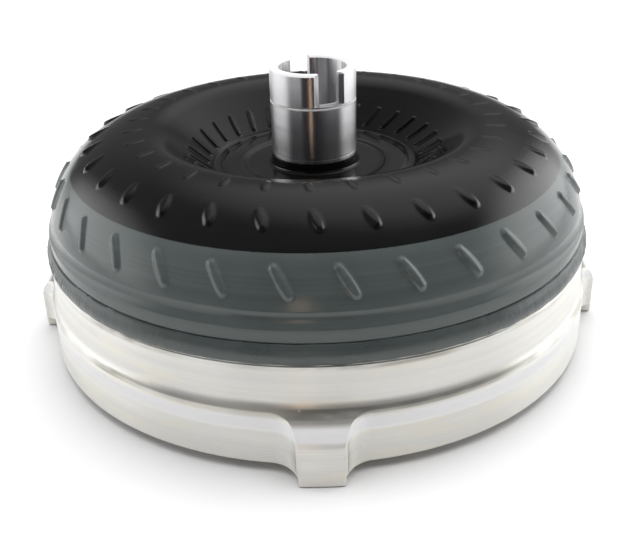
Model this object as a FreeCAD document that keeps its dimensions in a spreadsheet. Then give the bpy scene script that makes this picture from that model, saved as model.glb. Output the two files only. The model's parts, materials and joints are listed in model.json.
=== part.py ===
"""Four-lug lock-up torque converter, one closed file per piece.

Frame: the converter's axis is +Z and the pump hub points up.  The origin is on the
axis in the plane of the four lug pads, where the flexplate bolts on.  Millimetres.
"""
import FreeCAD, Part
import Sketcher
import math
import os
import re

DIMENSIONS = {
    # Shared by many pieces: how far a feature runs into the one it joins, and close fits
    "overlap": 1.0,
    "fit_gap": 0.02,
    "collar_gap": 0.05,
    # Meridian of the billet front cover
    "cover_wall_outer": 147.5,
    "cover_wall_inner": 141.5,
    "cover_wall_top": 56.5,
    "cover_front": 5.2,
    "cover_inside": 20.0,
    "cover_inside_fillet": 5.0,
    "recess_radius": 116.0,
    "recess_depth": 3.8,
    "lip_outer": 144.0,
    "seam_height": 61.5,
    "band_radius": 150.0,
    "cove_radius": 6.0,
    "cove_top": 38.0,
    "shoulder_inner": 151.1,
    "shoulder_top": 32.5,
    "shoulder_radius": 16.0,
    "shoulder_bottom": 20.5,
    "flange_radius": 160.0,
    # Lugs left standing where the flange is milled back to the band
    "lug_count": 4,
    "lug_half_width": 10.7,
    "lug_root_fillet": 15.0,
    "lug_foot_inner": 131.0,
    "lug_hole_circle": 145.25,
    "lug_hole_radius": 4.25,
    "lug_hole_depth": 15.0,
    "mill_reach": 166.0,
    "edge_break": 0.8,
    # Crank pilot
    "pilot_radius": 21.6,
    "pilot_end": 0.6,
    "pilot_spigot_radius": 14.0,
    "pilot_spigot_top": 15.0,
    "pilot_chamfer": 1.4,
    # Closing weld and impeller shell skirt
    "weld_top": 66.5,
    "weld_crown": 148.4,
    "weld_arc": 14.0,
    "skirt_outer": 146.0,
    "skirt_top": 73.4,
    "ledge_outer": 144.9,
    "ledge_top": 74.4,
    "ledge_arc": 9.0,
    "torus_foot": 80.2,
    # Impeller shell torus
    "shell_wall": 4.0,
    "torus_radius": 93.0,
    "torus_height": 66.1,
    "torus_arc": 52.5,
    "bowl_height": 96.1,
    "bowl_arc": 22.5,
    "bowl_slope": 36.87,
    "floor_top": 95.5,
    "floor_under": 90.0,
    # Impeller hub, its weld and its two drive slots
    "hub_outer": 23.0,
    "hub_bore": 18.2,
    "hub_top": 148.3,
    "hub_chamfer": 1.0,
    "hub_flange": 27.5,
    "hub_flange_top": 93.0,
    "relief_height": 102.6,
    "relief_width": 0.8,
    "relief_depth": 0.3,
    "scribe_height": 130.8,
    "scribe_depth": 0.35,
    "slot_count": 2,
    "slot_width": 11.2,
    "slot_bottom": 131.8,
    "slot_corner": 1.2,
    "slot_chamfer_width": 2.8,
    "slot_chamfer_depth": 0.8,
    "neck_outer": 23.4,
    "neck_top": 101.2,
    "neck_arc": 2.4,
    # Fluid circuit
    "core_radius": 100.0,
    "core_height": 72.0,
    "core_arc": 21.0,
    "core_wall": 1.5,
    "impeller_mouth": 73.5,
    "turbine_mouth": 70.5,
    "core_inner_rim": 10.0,
    "vane_gap": 0.1,
    "vane_inner": 60.0,
    "vane_edge": 80.5,
    "vane_thickness": 1.2,
    "vane_root": 54.0,
    "vane_tip": 143.0,
    "vane_arc": 150.0,
    "impeller_vane_count": 31,
    "impeller_lean": 12.0,
    "turbine_vane_count": 29,
    "turbine_lean": 26.0,
    # Turbine shell and hub
    "turbine_wall": 2.0,
    "turbine_radius": 95.5,
    "turbine_outer_height": 75.5,
    "turbine_outer_arc": 42.0,
    "turbine_inner_height": 53.5,
    "turbine_inner_arc": 20.0,
    "turbine_slope": 20.0,
    "turbine_seat": 44.6,
    "turbine_hub_outer": 52.0,
    "turbine_collar": 36.0,
    "turbine_hub_front": 22.7,
    "turbine_hub_rear": 52.0,
    "turbine_flange_front": 38.6,
    "piston_journal": 30.0,
    "seal_groove_radius": 28.0,
    "seal_groove_bottom": 28.5,
    "seal_groove_top": 31.0,
    "turbine_bore": 13.2,
    "spline_depth": 1.1,
    "spline_taper": 0.8,
    "turbine_spline_count": 30,
    "rivet_count": 8,
    "rivet_circle": 44.0,
    "rivet_radius": 2.5,
    "rivet_head": 4.0,
    "rivet_head_height": 1.5,
    # Thrust parts on the axis
    "washer_inner": 16.0,
    "washer_outer": 27.0,
    "washer_top": 22.4,
    "race_thickness": 1.2,
    "needle_radius": 1.5,
    "cage_thickness": 2.0,
    "cage_clearance": 0.15,
    "cage_inset": 0.5,
    "front_bearing_inner": 24.0,
    "front_bearing_outer": 36.0,
    "front_needle_count": 20,
    "front_needle_length": 7.0,
    "rear_bearing_inner": 27.0,
    "rear_bearing_outer": 41.0,
    "rear_needle_count": 24,
    "rear_needle_length": 8.0,
    # Stator and its one-way roller clutch
    "stator_front": 58.0,
    "stator_rear": 86.2,
    "stator_hub_outer": 50.0,
    "stator_seat": 42.05,
    "stator_counterbore": 44.05,
    "clutch_front": 61.0,
    "clutch_rear": 81.0,
    "rear_cap_top": 83.6,
    "cap_inner": 20.0,
    "cap_outer": 43.9,
    "snap_bottom": 83.8,
    "snap_top": 85.0,
    "snap_inner": 42.0,
    "snap_outer": 45.2,
    "snap_opening": 30.0,
    "snap_radial_gap": 0.15,
    "snap_side_gap": 0.1,
    "shroud_inner": 74.0,
    "shroud_outer": 76.5,
    "shroud_front": 64.0,
    "shroud_rear": 80.0,
    "blade_count": 13,
    "blade_front": 62.0,
    "blade_rear": 82.0,
    "blade_sweep": 7.0,
    "blade_back_arc": 18.0,
    "blade_belly_arc": 60.0,
    "cam_inner": 26.4,
    "cam_outer": 42.0,
    "notch_radius": 33.9,
    "notch_start": 10.0,
    "notch_end": 15.0,
    "roller_count": 10,
    "roller_circle": 29.75,
    "roller_radius": 3.5,
    "leaf_thickness": 0.35,
    "leaf_folds": 4,
    "leaf_reach": 2.8,
    "leaf_inset": 1.0,
    "end_float": 0.5,
    "inner_race_outer": 26.0,
    "inner_race_bore": 16.2,
    "race_spline_count": 24,
    # Damper between lock-up piston and turbine
    "spring_count": 6,
    "spring_circle": 126.0,
    "spring_height": 34.0,
    "spring_coil": 4.2,
    "spring_wire": 1.25,
    "spring_pitch": 5.2,
    "spring_length": 41.0,
    "driven_inner": 123.5,
    "driven_outer": 132.0,
    "driven_bottom": 40.2,
    "driven_top": 41.4,
    "tab_outer": 130.5,
    "tab_bottom": 29.5,
    "tab_half_angle": 19.4,
    "retainer_inner": 104.0,
    "retainer_outer": 135.4,
    "retainer_bottom": 26.4,
    "retainer_top": 41.0,
    "retainer_wall": 1.2,
    "retainer_lip": 118.4,
    "retainer_lip_top": 31.5,
    "stop_depth": 2.7,
    "stop_top": 36.0,
    # Lock-up piston and lining
    "piston_bore": 30.06,
    "piston_collar": 34.0,
    "piston_collar_top": 36.0,
    "piston_wall": 3.0,
    "piston_web": 26.5,
    "piston_web_outer": 90.0,
    "piston_face": 22.3,
    "piston_face_inner": 98.0,
    "piston_outer": 136.5,
    "lining_inner": 104.0,
    "lining_outer": 135.0,
    "lining_bottom": 21.0,
    "pin_count": 6,
    "pin_circle": 111.0,
    "pin_radius": 3.0,
    "pin_hole_radius": 3.08,
    "pin_top": 29.6,
}

# Direction of the front drive slot, in degrees from +X.
SLOT_AZIMUTH = -67.0

SHEET_NAME = "Dims"
SUBPARTS = []

document = FreeCAD.newDocument("TorqueConverter")
sheet = document.addObject("Spreadsheet::Sheet", SHEET_NAME)


def fill_sheet():
    for row, (alias, value) in enumerate(DIMENSIONS.items(), start=1):
        sheet.set(f"A{row}", alias)
        sheet.set(f"B{row}", str(value))
        sheet.setAlias(f"B{row}", alias)
    document.recompute()


# ---------------------------------------------------------------- expressions

def cells(expression):
    """The same expression with every dimension pointed at its cell."""

    def cell(word):
        name = word.group(0)
        return f"{SHEET_NAME}.{name}" if name in DIMENSIONS else name

    return re.sub(r"[a-z_]+", cell, expression)


def number(expression):
    return float(sheet.evalExpression(cells(expression)))


def bind(target, path, expression):
    target.setExpression(path, cells(expression))


def across(centre, half_chord, radius, side="+"):
    """One coordinate of a circle's point, from the offset of its other coordinate."""
    return f"({centre}) {side} sqrt(({radius})^2 - ({half_chord})^2)"


# ------------------------------------------------------------------- sketches

def sketch_on(body, name, role, height="0"):
    """A sketch on one of the body's own origin planes, lifted along its normal."""
    plane = next(item for item in body.Origin.OriginFeatures if item.Role == role)
    sketch = body.newObject("Sketcher::SketchObject", f"{body.Name}_{name}")
    sketch.AttachmentSupport = [(plane, "")]
    sketch.MapMode = "FlatFace"
    if height != "0":
        bind(sketch, "AttachmentOffset.Base.z", height)
    return sketch


def place_point(sketch, edge, end, corner):
    """Hold one sketch point at its coordinates, measured from the sketch's origin."""
    for axis, kind, expression in ((-2, "DistanceX", corner[0]), (-1, "DistanceY", corner[1])):
        value = number(expression)
        if abs(value) < 1e-9:
            sketch.addConstraint(Sketcher.Constraint("PointOnObject", edge, end, axis))
        else:
            index = sketch.addConstraint(Sketcher.Constraint(kind, -1, 1, edge, end, value))
            bind(sketch, f"Constraints[{index}]", expression)


def arc_through(start, end, radius, turn):
    """The short arc between two points that turns left or right on the way."""
    chord = end - start
    middle = (start + end) * 0.5
    left = FreeCAD.Vector(-chord.y, chord.x, 0).normalize()
    rise = math.sqrt(radius**2 - (chord.Length / 2) ** 2)
    side = 1 if turn == "left" else -1
    centre = middle + left * (rise * side)
    circle = Part.Circle(centre, FreeCAD.Vector(0, 0, 1), radius)
    first, last = (start, end) if turn == "left" else (end, start)
    angles = [math.atan2(point.y - centre.y, point.x - centre.x) for point in (first, last)]
    return Part.ArcOfCircle(circle, angles[0], angles[1])


def outline(sketch, corners):
    """Close an outline through the corners.

    A corner is (x, y).  A corner (x, y, radius, turn) is reached along an arc.
    """
    points = [FreeCAD.Vector(number(corner[0]), number(corner[1]), 0) for corner in corners]
    ends = []
    for index, corner in enumerate(corners):
        start = points[index - 1]
        end = points[index]
        if len(corner) == 2:
            edge = sketch.addGeometry(Part.LineSegment(start, end), False)
            ends.append((edge, 1, 2))
        else:
            radius = corner[2]
            turn = corner[3]
            edge = sketch.addGeometry(arc_through(start, end, number(radius), turn), False)
            ends.append((edge, 1, 2) if turn == "left" else (edge, 2, 1))
    for index, corner in enumerate(corners):
        edge, _, last = ends[index]
        following, first, _ = ends[(index + 1) % len(ends)]
        sketch.addConstraint(Sketcher.Constraint("Coincident", edge, last, following, first))
        place_point(sketch, edge, last, corner)
        if len(corner) == 4:
            constraint = Sketcher.Constraint("Radius", edge, number(corner[2]))
            bind(sketch, f"Constraints[{sketch.addConstraint(constraint)}]", corner[2])


def circle(sketch, radius, x="0", y="0"):
    centre = FreeCAD.Vector(number(x), number(y), 0)
    normal = FreeCAD.Vector(0, 0, 1)
    edge = sketch.addGeometry(Part.Circle(centre, normal, number(radius)), False)
    place_point(sketch, edge, 3, (x, y))
    index = sketch.addConstraint(Sketcher.Constraint("Radius", edge, number(radius)))
    bind(sketch, f"Constraints[{index}]", radius)


# ------------------------------------------------------------------- features

def new_body(label):
    body = document.addObject("PartDesign::Body", label)
    body.Label = label
    return body


def keep(subpart, label):
    subpart.Label = label
    SUBPARTS.append(subpart)
    return subpart


def revolve(body, name, corners, kind="Revolution", degrees=360.0):
    """Turn a meridian outline, drawn as radius and height, about the axis."""
    sketch = sketch_on(body, f"{name}_meridian", "XZ_Plane")
    outline(sketch, corners)
    feature = body.newObject(f"PartDesign::{kind}", f"{body.Name}_{name}")
    feature.Profile = sketch
    feature.ReferenceAxis = (sketch, ["V_Axis"])
    feature.Angle = degrees
    return feature


def extrude(body, name, sketch, length, kind="Pad", reverse=False):
    feature = body.newObject(f"PartDesign::{kind}", f"{body.Name}_{name}")
    feature.Profile = sketch
    feature.Reversed = reverse
    bind(feature, "Length", length)
    return feature


def cut_through(body, name, sketch):
    feature = body.newObject("PartDesign::Pocket", f"{body.Name}_{name}")
    feature.Profile = sketch
    feature.Type = "ThroughAll"
    feature.Midplane = True
    return feature


def repeat(body, feature, count):
    """Repeat a feature evenly about the axis."""
    axis = next(item for item in body.Origin.OriginFeatures if item.Role == "Z_Axis")
    pattern = body.newObject("PartDesign::PolarPattern", f"{feature.Name}_pattern")
    pattern.Originals = [feature]
    pattern.Axis = (axis, [""])
    pattern.Angle = 360.0
    bind(pattern, "Occurrences", count)
    body.Tip = pattern
    return pattern


def box_corners(inner, outer, bottom, top):
    return [(inner, bottom), (outer, bottom), (outer, top), (inner, top)]


def ring(label, inner, outer, bottom, top):
    """A plain turned ring."""
    body = new_body(label)
    revolve(body, "ring", box_corners(inner, outer, bottom, top))
    return keep(body, label)


def sector(inner, outer, half_angle):
    """Outline of a ring sector that is centred on +X."""
    cosine = f"cos({half_angle} * 1deg)"
    sine = f"sin({half_angle} * 1deg)"
    return [
        (f"{inner} * {cosine}", f"-{inner} * {sine}", inner, "right"),
        (f"{outer} * {cosine}", f"-{outer} * {sine}"),
        (f"{outer} * {cosine}", f"{outer} * {sine}", outer, "left"),
        (f"{inner} * {cosine}", f"{inner} * {sine}"),
    ]


def cylinders(label, count, radius, length, placement):
    """Equal loose cylinders about the axis, as one node of separate solids."""
    rod = Part.makeCylinder(number(radius), number(length))
    rod.Placement = placement
    total = int(number(count))
    return loose_copies(label, rod, total)


def loose_copies(label, shape, total):
    axis = FreeCAD.Vector(0, 0, 1)
    origin = FreeCAD.Vector(0, 0, 0)
    copies = []
    for index in range(total):
        copy = shape.copy()
        copy.rotate(origin, axis, 360.0 * index / total)
        copies.append(copy)
    group = document.addObject("Part::Feature", label)
    group.Shape = Part.makeCompound(copies)
    return keep(group, label)


# -------------------------------------------------------------------- housing

def make_front_cover():
    body = new_body("front_cover")
    recess_face = "cover_front + recess_depth"
    inner_corner = "cover_wall_inner - cover_inside_fillet"
    revolve(body, "blank", [
        ("0", recess_face),
        ("recess_radius", recess_face),
        ("recess_radius + recess_depth", "cover_front"),
        ("flange_radius", "cover_front"),
        ("flange_radius", "shoulder_bottom"),
        ("shoulder_inner", "shoulder_top", "shoulder_radius", "left"),
        ("cover_wall_outer", "cove_top", "cove_radius", "right"),
        ("cover_wall_outer", "cover_wall_top"),
        ("lip_outer", "cover_wall_top"),
        ("lip_outer", "seam_height"),
        ("cover_wall_inner", "seam_height"),
        ("cover_wall_inner", "cover_inside + cover_inside_fillet"),
        (inner_corner, "cover_inside", "cover_inside_fillet", "right"),
        ("0", "cover_inside"),
    ])

    # Milling between two lugs leaves the band and a filleted root at each lug.
    window = sketch_on(body, "window", "XY_Plane")
    mill_centre = across("0", "lug_half_width + lug_root_fillet", "band_radius + lug_root_fillet")
    share = "band_radius / (band_radius + lug_root_fillet)"
    root_far = f"({mill_centre}) * {share}"
    root_near = f"(lug_half_width + lug_root_fillet) * {share}"
    outline(window, [
        ("mill_reach", "lug_half_width"),
        (mill_centre, "lug_half_width"),
        (root_far, root_near, "lug_root_fillet", "right"),
        (root_near, root_far, "band_radius", "left"),
        ("lug_half_width", mill_centre, "lug_root_fillet", "right"),
        ("lug_half_width", "mill_reach"),
        ("mill_reach", "mill_reach"),
    ])
    repeat(body, cut_through(body, "milling", window), "lug_count")

    foot = sketch_on(body, "foot", "XY_Plane")
    foot_reach = across("0", "lug_half_width", "flange_radius")
    outline(foot, [
        ("lug_foot_inner", "-lug_half_width"),
        (foot_reach, "-lug_half_width"),
        (foot_reach, "lug_half_width", "flange_radius", "left"),
        ("lug_foot_inner", "lug_half_width"),
    ])
    repeat(body, extrude(body, "lug_foot", foot, "cover_front + overlap"), "lug_count")

    hole = sketch_on(body, "lug_hole", "XY_Plane")
    circle(hole, "lug_hole_radius", "lug_hole_circle")
    drilled = extrude(body, "lug_drilling", hole, "lug_hole_depth", "Pocket", reverse=True)
    repeat(body, drilled, "lug_count")

    seat = sketch_on(body, "pilot_seat", "XY_Plane", recess_face)
    circle(seat, "pilot_spigot_radius")
    extrude(body, "pilot_bore", seat, f"pilot_spigot_top - ({recess_face})", "Pocket", reverse=True)
    document.recompute()
    break_lug_edges(body)
    return keep(body, "front_cover")


def break_lug_edges(body):
    """Chamfer the lower edges of the lug feet."""
    names = []
    for index, edge in enumerate(body.Shape.Edges, start=1):
        at_pad = abs(edge.BoundBox.ZMin) < 1e-4 and abs(edge.BoundBox.ZMax) < 1e-4
        if at_pad:
            names.append(f"Edge{index}")
    solid = body.Tip
    feature = body.newObject("PartDesign::Chamfer", f"{body.Name}_edge_break")
    feature.Base = (solid, names)
    bind(feature, "Size", "edge_break")


def make_crank_pilot():
    body = new_body("crank_pilot")
    recess_face = "cover_front + recess_depth"
    revolve(body, "pilot", [
        ("0", "pilot_end"),
        ("pilot_radius - pilot_chamfer", "pilot_end"),
        ("pilot_radius", "pilot_end + pilot_chamfer"),
        ("pilot_radius", recess_face),
        ("pilot_spigot_radius", recess_face),
        ("pilot_spigot_radius", "pilot_spigot_top"),
        ("0", "pilot_spigot_top"),
    ])
    keep(body, "crank_pilot")


def make_closing_weld():
    body = new_body("closing_weld")
    revolve(body, "bead", [
        ("lip_outer", "cover_wall_top"),
        ("cover_wall_outer", "cover_wall_top"),
        ("weld_crown", "seam_height", "weld_arc", "left"),
        ("skirt_outer", "weld_top", "weld_arc", "left"),
        ("lip_outer", "weld_top"),
    ])
    keep(body, "closing_weld")


def bowl_point(arc, radius, height, along, slope):
    """Radius and height where an inner arc meets the cone, seen from the crest."""
    return (
        f"{radius} - ({arc}) * sin({slope} * 1deg)",
        f"{height} {along} ({arc}) * cos({slope} * 1deg)",
    )


def cone_radius(start, level, slope, along):
    """Radius where the cone that leaves start reaches a level."""
    return f"({start[0]}) {along} (({start[1]}) - ({level})) / tan({slope} * 1deg)"


def make_impeller_shell():
    body = new_body("impeller_shell")
    outer_arc = "torus_arc"
    inner_arc = "torus_arc - shell_wall"
    outer_cone = bowl_point("bowl_arc", "torus_radius", "bowl_height", "+", "bowl_slope")
    inner_bowl = "bowl_arc - shell_wall"
    inner_cone = bowl_point(inner_bowl, "torus_radius", "bowl_height", "+", "bowl_slope")
    torus_foot_radius = across("torus_radius", "torus_foot - torus_height", outer_arc)
    revolve(body, "shell", [
        ("cover_wall_inner", "seam_height"),
        ("lip_outer", "seam_height"),
        ("lip_outer", "weld_top"),
        ("skirt_outer", "weld_top"),
        ("skirt_outer", "skirt_top"),
        ("ledge_outer", "ledge_top"),
        (torus_foot_radius, "torus_foot", "ledge_arc", "right"),
        ("torus_radius", "torus_height + torus_arc", outer_arc, "left"),
        (*outer_cone, "bowl_arc", "left"),
        (cone_radius(outer_cone, "floor_top", "bowl_slope", "-"), "floor_top"),
        ("hub_outer + fit_gap", "floor_top"),
        ("hub_outer + fit_gap", "hub_flange_top"),
        ("hub_flange", "hub_flange_top"),
        ("hub_flange", "floor_under"),
        (cone_radius(inner_cone, "floor_under", "bowl_slope", "-"), "floor_under"),
        inner_cone,
        ("torus_radius", f"torus_height + {inner_arc}", inner_bowl, "right"),
        ("cover_wall_inner", "torus_height", inner_arc, "right"),
    ])
    keep(body, "impeller_shell")


def make_impeller_hub():
    body = new_body("impeller_hub")
    revolve(body, "tube", [
        ("hub_bore", "floor_under"),
        ("hub_flange", "floor_under"),
        ("hub_flange", "hub_flange_top"),
        ("hub_outer", "hub_flange_top"),
        ("hub_outer", "relief_height"),
        ("hub_outer - relief_depth", "relief_height"),
        ("hub_outer - relief_depth", "relief_height + relief_width"),
        ("hub_outer", "relief_height + relief_width"),
        ("hub_outer", "scribe_height - scribe_depth"),
        ("hub_outer - scribe_depth", "scribe_height"),
        ("hub_outer", "scribe_height + scribe_depth"),
        ("hub_outer", "hub_top - hub_chamfer"),
        ("hub_outer - hub_chamfer", "hub_top"),
        ("hub_bore + hub_chamfer", "hub_top"),
        ("hub_bore", "hub_top - hub_chamfer"),
    ])

    # Both slots open at the hub's end face and are cut across it in one pass.
    slots = sketch_on(body, "slots", "XZ_Plane")
    slots.AttachmentOffset = FreeCAD.Placement(
        FreeCAD.Vector(0, 0, 0),
        FreeCAD.Rotation(FreeCAD.Vector(0, 1, 0), SLOT_AZIMUTH + 90.0),
    )
    half = "slot_width / 2"
    outline(slots, [
        (f"-{half}", "hub_top + hub_chamfer"),
        (f"-{half}", "slot_bottom + slot_corner"),
        (f"-{half} + slot_corner", "slot_bottom", "slot_corner", "left"),
        (f"{half} - slot_corner", "slot_bottom"),
        (half, "slot_bottom + slot_corner", "slot_corner", "left"),
        (half, "hub_top + hub_chamfer"),
    ])
    cut_through(body, "drive_slots", slots)

    # A flat chamfer runs down each outer edge of a slot.
    foot = f"{half} + slot_chamfer_width"
    foot_out = across("0", foot, "hub_outer")
    chamfers = sketch_on(body, "slot_chamfer", "XY_Plane")
    chamfers.AttachmentOffset = FreeCAD.Placement(
        FreeCAD.Vector(0, 0, number("slot_bottom")),
        FreeCAD.Rotation(FreeCAD.Vector(0, 0, 1), SLOT_AZIMUTH),
    )
    outline(chamfers, [
        (foot_out, f"-({foot})"),
        ("hub_outer + overlap", f"-({foot})"),
        ("hub_outer + overlap", foot),
        (foot_out, foot),
        (f"{foot_out} - slot_chamfer_depth", half),
        (f"{foot_out} - slot_chamfer_depth", f"-{half}"),
    ])
    height = "hub_top - slot_bottom + overlap"
    bevel = extrude(body, "slot_bevel", chamfers, height, "Pocket", reverse=True)
    repeat(body, bevel, "slot_count")
    keep(body, "impeller_hub")


def make_hub_weld():
    body = new_body("hub_weld")
    revolve(body, "fillet", [
        ("hub_outer + fit_gap", "floor_top"),
        ("neck_outer + neck_arc", "floor_top"),
        ("neck_outer", "floor_top + neck_arc", "neck_arc", "right"),
        ("neck_outer", "neck_top"),
        ("hub_outer + fit_gap", "neck_top"),
    ])
    keep(body, "hub_weld")


# -------------------------------------------------------------- fluid circuit

def core_circle(level_offset, arc, side):
    return across("core_radius", level_offset, arc, side)


def make_core_ring(label, mouth, along):
    """Half of the ring that closes the vanes on the inside of the circuit."""
    outer = "core_arc + core_wall"
    inner = "core_arc"
    opening = f"{mouth} - core_height"
    rim = f"core_height {along} core_inner_rim"
    there, back = ("left", "right") if along == "+" else ("right", "left")
    body = new_body(label)
    revolve(body, "ring", [
        (core_circle(opening, outer, "+"), mouth),
        (core_circle("core_inner_rim", outer, "-"), rim, outer, there),
        (core_circle("core_inner_rim", inner, "-"), rim),
        (core_circle(opening, inner, "+"), mouth, inner, back),
    ])
    keep(body, label)


def make_vanes(label, count, lean, mouth, along, shell):
    """Curved blades that fill the passage between a shell and its core ring."""
    there, back = ("left", "right") if along == "+" else ("right", "left")
    core = "core_arc + core_wall + vane_gap"
    core_edge = across("core_height", "core_radius - vane_edge", core, along)
    crest_level = f"{shell['outer_height']} {along} ({shell['outer_arc']})"
    cone_end = bowl_point(shell["inner_arc"], shell["radius"], shell["inner_height"], along,
                          shell["slope"])
    cone_level = (f"({cone_end[1]}) - (({cone_end[0]}) - vane_inner)"
                  f" * {along}1 * tan({shell['slope']} * 1deg)")
    rim = across(shell["radius"], f"{mouth} - {shell['outer_height']}", shell["outer_arc"])

    passage = new_body(f"{label}_passage")
    revolve(passage, "region", [
        (rim, mouth),
        (shell["radius"], crest_level, shell["outer_arc"], there),
        (*cone_end, shell["inner_arc"], there),
        ("vane_inner", cone_level),
        ("vane_edge", core_edge),
        (core_circle(f"{mouth} - core_height", core, "+"), mouth, core, back),
    ])

    strips = new_body(f"{label}_strips")
    strip = sketch_on(strips, "strip", "XY_Plane", shell["strip_bottom"])
    outline(strip, [
        ("vane_root", "0"),
        ("vane_tip", lean, "vane_arc", "left"),
        ("vane_tip", f"{lean} + vane_thickness"),
        ("vane_root", "vane_thickness", "vane_arc", "right"),
    ])
    repeat(strips, extrude(strips, "blade", strip, "torus_arc"), count)

    vanes = document.addObject("Part::Common", label)
    vanes.Base = strips
    vanes.Tool = passage
    keep(vanes, label)


IMPELLER_PASSAGE = {
    "radius": "torus_radius",
    "outer_height": "torus_height",
    "outer_arc": "torus_arc - shell_wall - vane_gap",
    "inner_height": "bowl_height",
    "inner_arc": "bowl_arc - shell_wall - vane_gap",
    "slope": "bowl_slope",
    "strip_bottom": "impeller_mouth - overlap",
}

TURBINE_PASSAGE = {
    "radius": "turbine_radius",
    "outer_height": "turbine_outer_height",
    "outer_arc": "turbine_outer_arc - vane_gap",
    "inner_height": "turbine_inner_height",
    "inner_arc": "turbine_inner_arc - vane_gap",
    "slope": "turbine_slope",
    "strip_bottom": "turbine_mouth - torus_arc + overlap",
}


def make_turbine_shell():
    body = new_body("turbine_shell")
    radius = "turbine_radius"
    outer_height = "turbine_outer_height"
    inner_height = "turbine_inner_height"
    wet_arc = "turbine_outer_arc"
    dry_arc = "turbine_outer_arc + turbine_wall"
    wet_bowl = "turbine_inner_arc"
    dry_bowl = "turbine_inner_arc + turbine_wall"
    slope = "turbine_slope"
    wet_cone = bowl_point(wet_bowl, radius, inner_height, "-", slope)
    dry_cone = bowl_point(dry_bowl, radius, inner_height, "-", slope)
    wet_seat = "turbine_seat + turbine_wall"
    opening = f"turbine_mouth - {outer_height}"
    revolve(body, "shell", [
        (across(radius, opening, wet_arc), "turbine_mouth"),
        (radius, f"{outer_height} - ({wet_arc})", wet_arc, "right"),
        (*wet_cone, wet_bowl, "right"),
        (cone_radius(wet_cone, wet_seat, slope, "+"), wet_seat),
        ("turbine_collar + collar_gap", wet_seat),
        ("turbine_collar + collar_gap", "turbine_seat"),
        (cone_radius(dry_cone, "turbine_seat", slope, "+"), "turbine_seat"),
        dry_cone,
        (radius, f"{outer_height} - ({dry_arc})", dry_bowl, "left"),
        (across(radius, opening, dry_arc), "turbine_mouth", dry_arc, "left"),
    ])
    drill_rivet_holes(body)
    keep(body, "turbine_shell")


def drill_rivet_holes(body):
    holes = sketch_on(body, "rivet_hole", "XY_Plane")
    circle(holes, "rivet_radius + fit_gap", "rivet_circle")
    repeat(body, cut_through(body, "rivet_drilling", holes), "rivet_count")


def cut_splines(body, bore, count):
    """Cut straight-sided spline gaps outward from a bore."""
    gap = f"{bore} * sin(90deg / {count})"
    splines = sketch_on(body, "spline", "XY_Plane")
    outline(splines, [
        (f"{bore} - spline_depth", f"-{gap}"),
        (f"{bore} + spline_depth", f"-{gap} * spline_taper"),
        (f"{bore} + spline_depth", f"{gap} * spline_taper"),
        (f"{bore} - spline_depth", gap),
    ])
    repeat(body, cut_through(body, "spline_gap", splines), count)


def make_turbine_hub():
    body = new_body("turbine_hub")
    chamfer = "pilot_chamfer"
    revolve(body, "hub", [
        ("turbine_bore", "turbine_hub_front"),
        (f"piston_journal - {chamfer}", "turbine_hub_front"),
        ("piston_journal", f"turbine_hub_front + {chamfer}"),
        ("piston_journal", "seal_groove_bottom"),
        ("seal_groove_radius", "seal_groove_bottom"),
        ("seal_groove_radius", "seal_groove_top"),
        ("piston_journal", "seal_groove_top"),
        ("piston_journal", "turbine_flange_front"),
        ("turbine_hub_outer", "turbine_flange_front"),
        ("turbine_hub_outer", "turbine_seat"),
        ("turbine_collar", "turbine_seat"),
        ("turbine_collar", "turbine_hub_rear"),
        ("turbine_bore", "turbine_hub_rear"),
    ])
    drill_rivet_holes(body)
    cut_splines(body, "turbine_bore", "turbine_spline_count")
    keep(body, "turbine_hub")


def make_turbine_rivets():
    front = "turbine_flange_front"
    rear = "turbine_seat + turbine_wall"
    body = new_body("turbine_rivets")
    for name, radius, bottom, length in (
        ("shank", "rivet_radius", f"{front} - overlap", f"{rear} - {front} + 2 * overlap"),
        ("front_head", "rivet_head", f"{front} - rivet_head_height", "rivet_head_height"),
        ("rear_head", "rivet_head", rear, "rivet_head_height"),
    ):
        sketch = sketch_on(body, name, "XY_Plane", bottom)
        circle(sketch, radius, "rivet_circle")
        repeat(body, extrude(body, f"{name}_pad", sketch, length), "rivet_count")
    keep(body, "turbine_rivets")


# ------------------------------------------------------------ thrust bearings

def make_thrust_bearing(name, inner, outer, lower_race, upper_race, count, length):
    """Needle cage, needles and the two races of one thrust bearing.

    Each race is (label, underside level).
    """
    for label, level in (lower_race, upper_race):
        ring(label, inner, outer, level, f"{level} + race_thickness")

    middle = f"({lower_race[1]} + race_thickness + {upper_race[1]}) / 2"
    half = "cage_thickness / 2"
    body = new_body(f"{name}_cage")
    revolve(body, "cage", box_corners(
        f"{inner} + cage_inset", f"{outer} - cage_inset", f"{middle} - {half}", f"{middle} + {half}"))
    pocket = sketch_on(body, "pocket", "XY_Plane")
    near = f"({inner} + {outer} - {length}) / 2"
    far = f"({inner} + {outer} + {length}) / 2"
    side = "(needle_radius + cage_clearance)"
    outline(pocket, [
        (f"{near} - cage_clearance", f"-{side}"),
        (f"{far} + cage_clearance", f"-{side}"),
        (f"{far} + cage_clearance", side),
        (f"{near} - cage_clearance", side),
    ])
    repeat(body, cut_through(body, "pockets", pocket), count)
    keep(body, f"{name}_cage")

    placement = FreeCAD.Placement(
        FreeCAD.Vector(number(near), 0, number(middle)),
        FreeCAD.Rotation(FreeCAD.Vector(0, 1, 0), 90),
    )
    cylinders(f"{name}_needles", count, "needle_radius", length, placement)


# --------------------------------------------------------------------- stator

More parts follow.
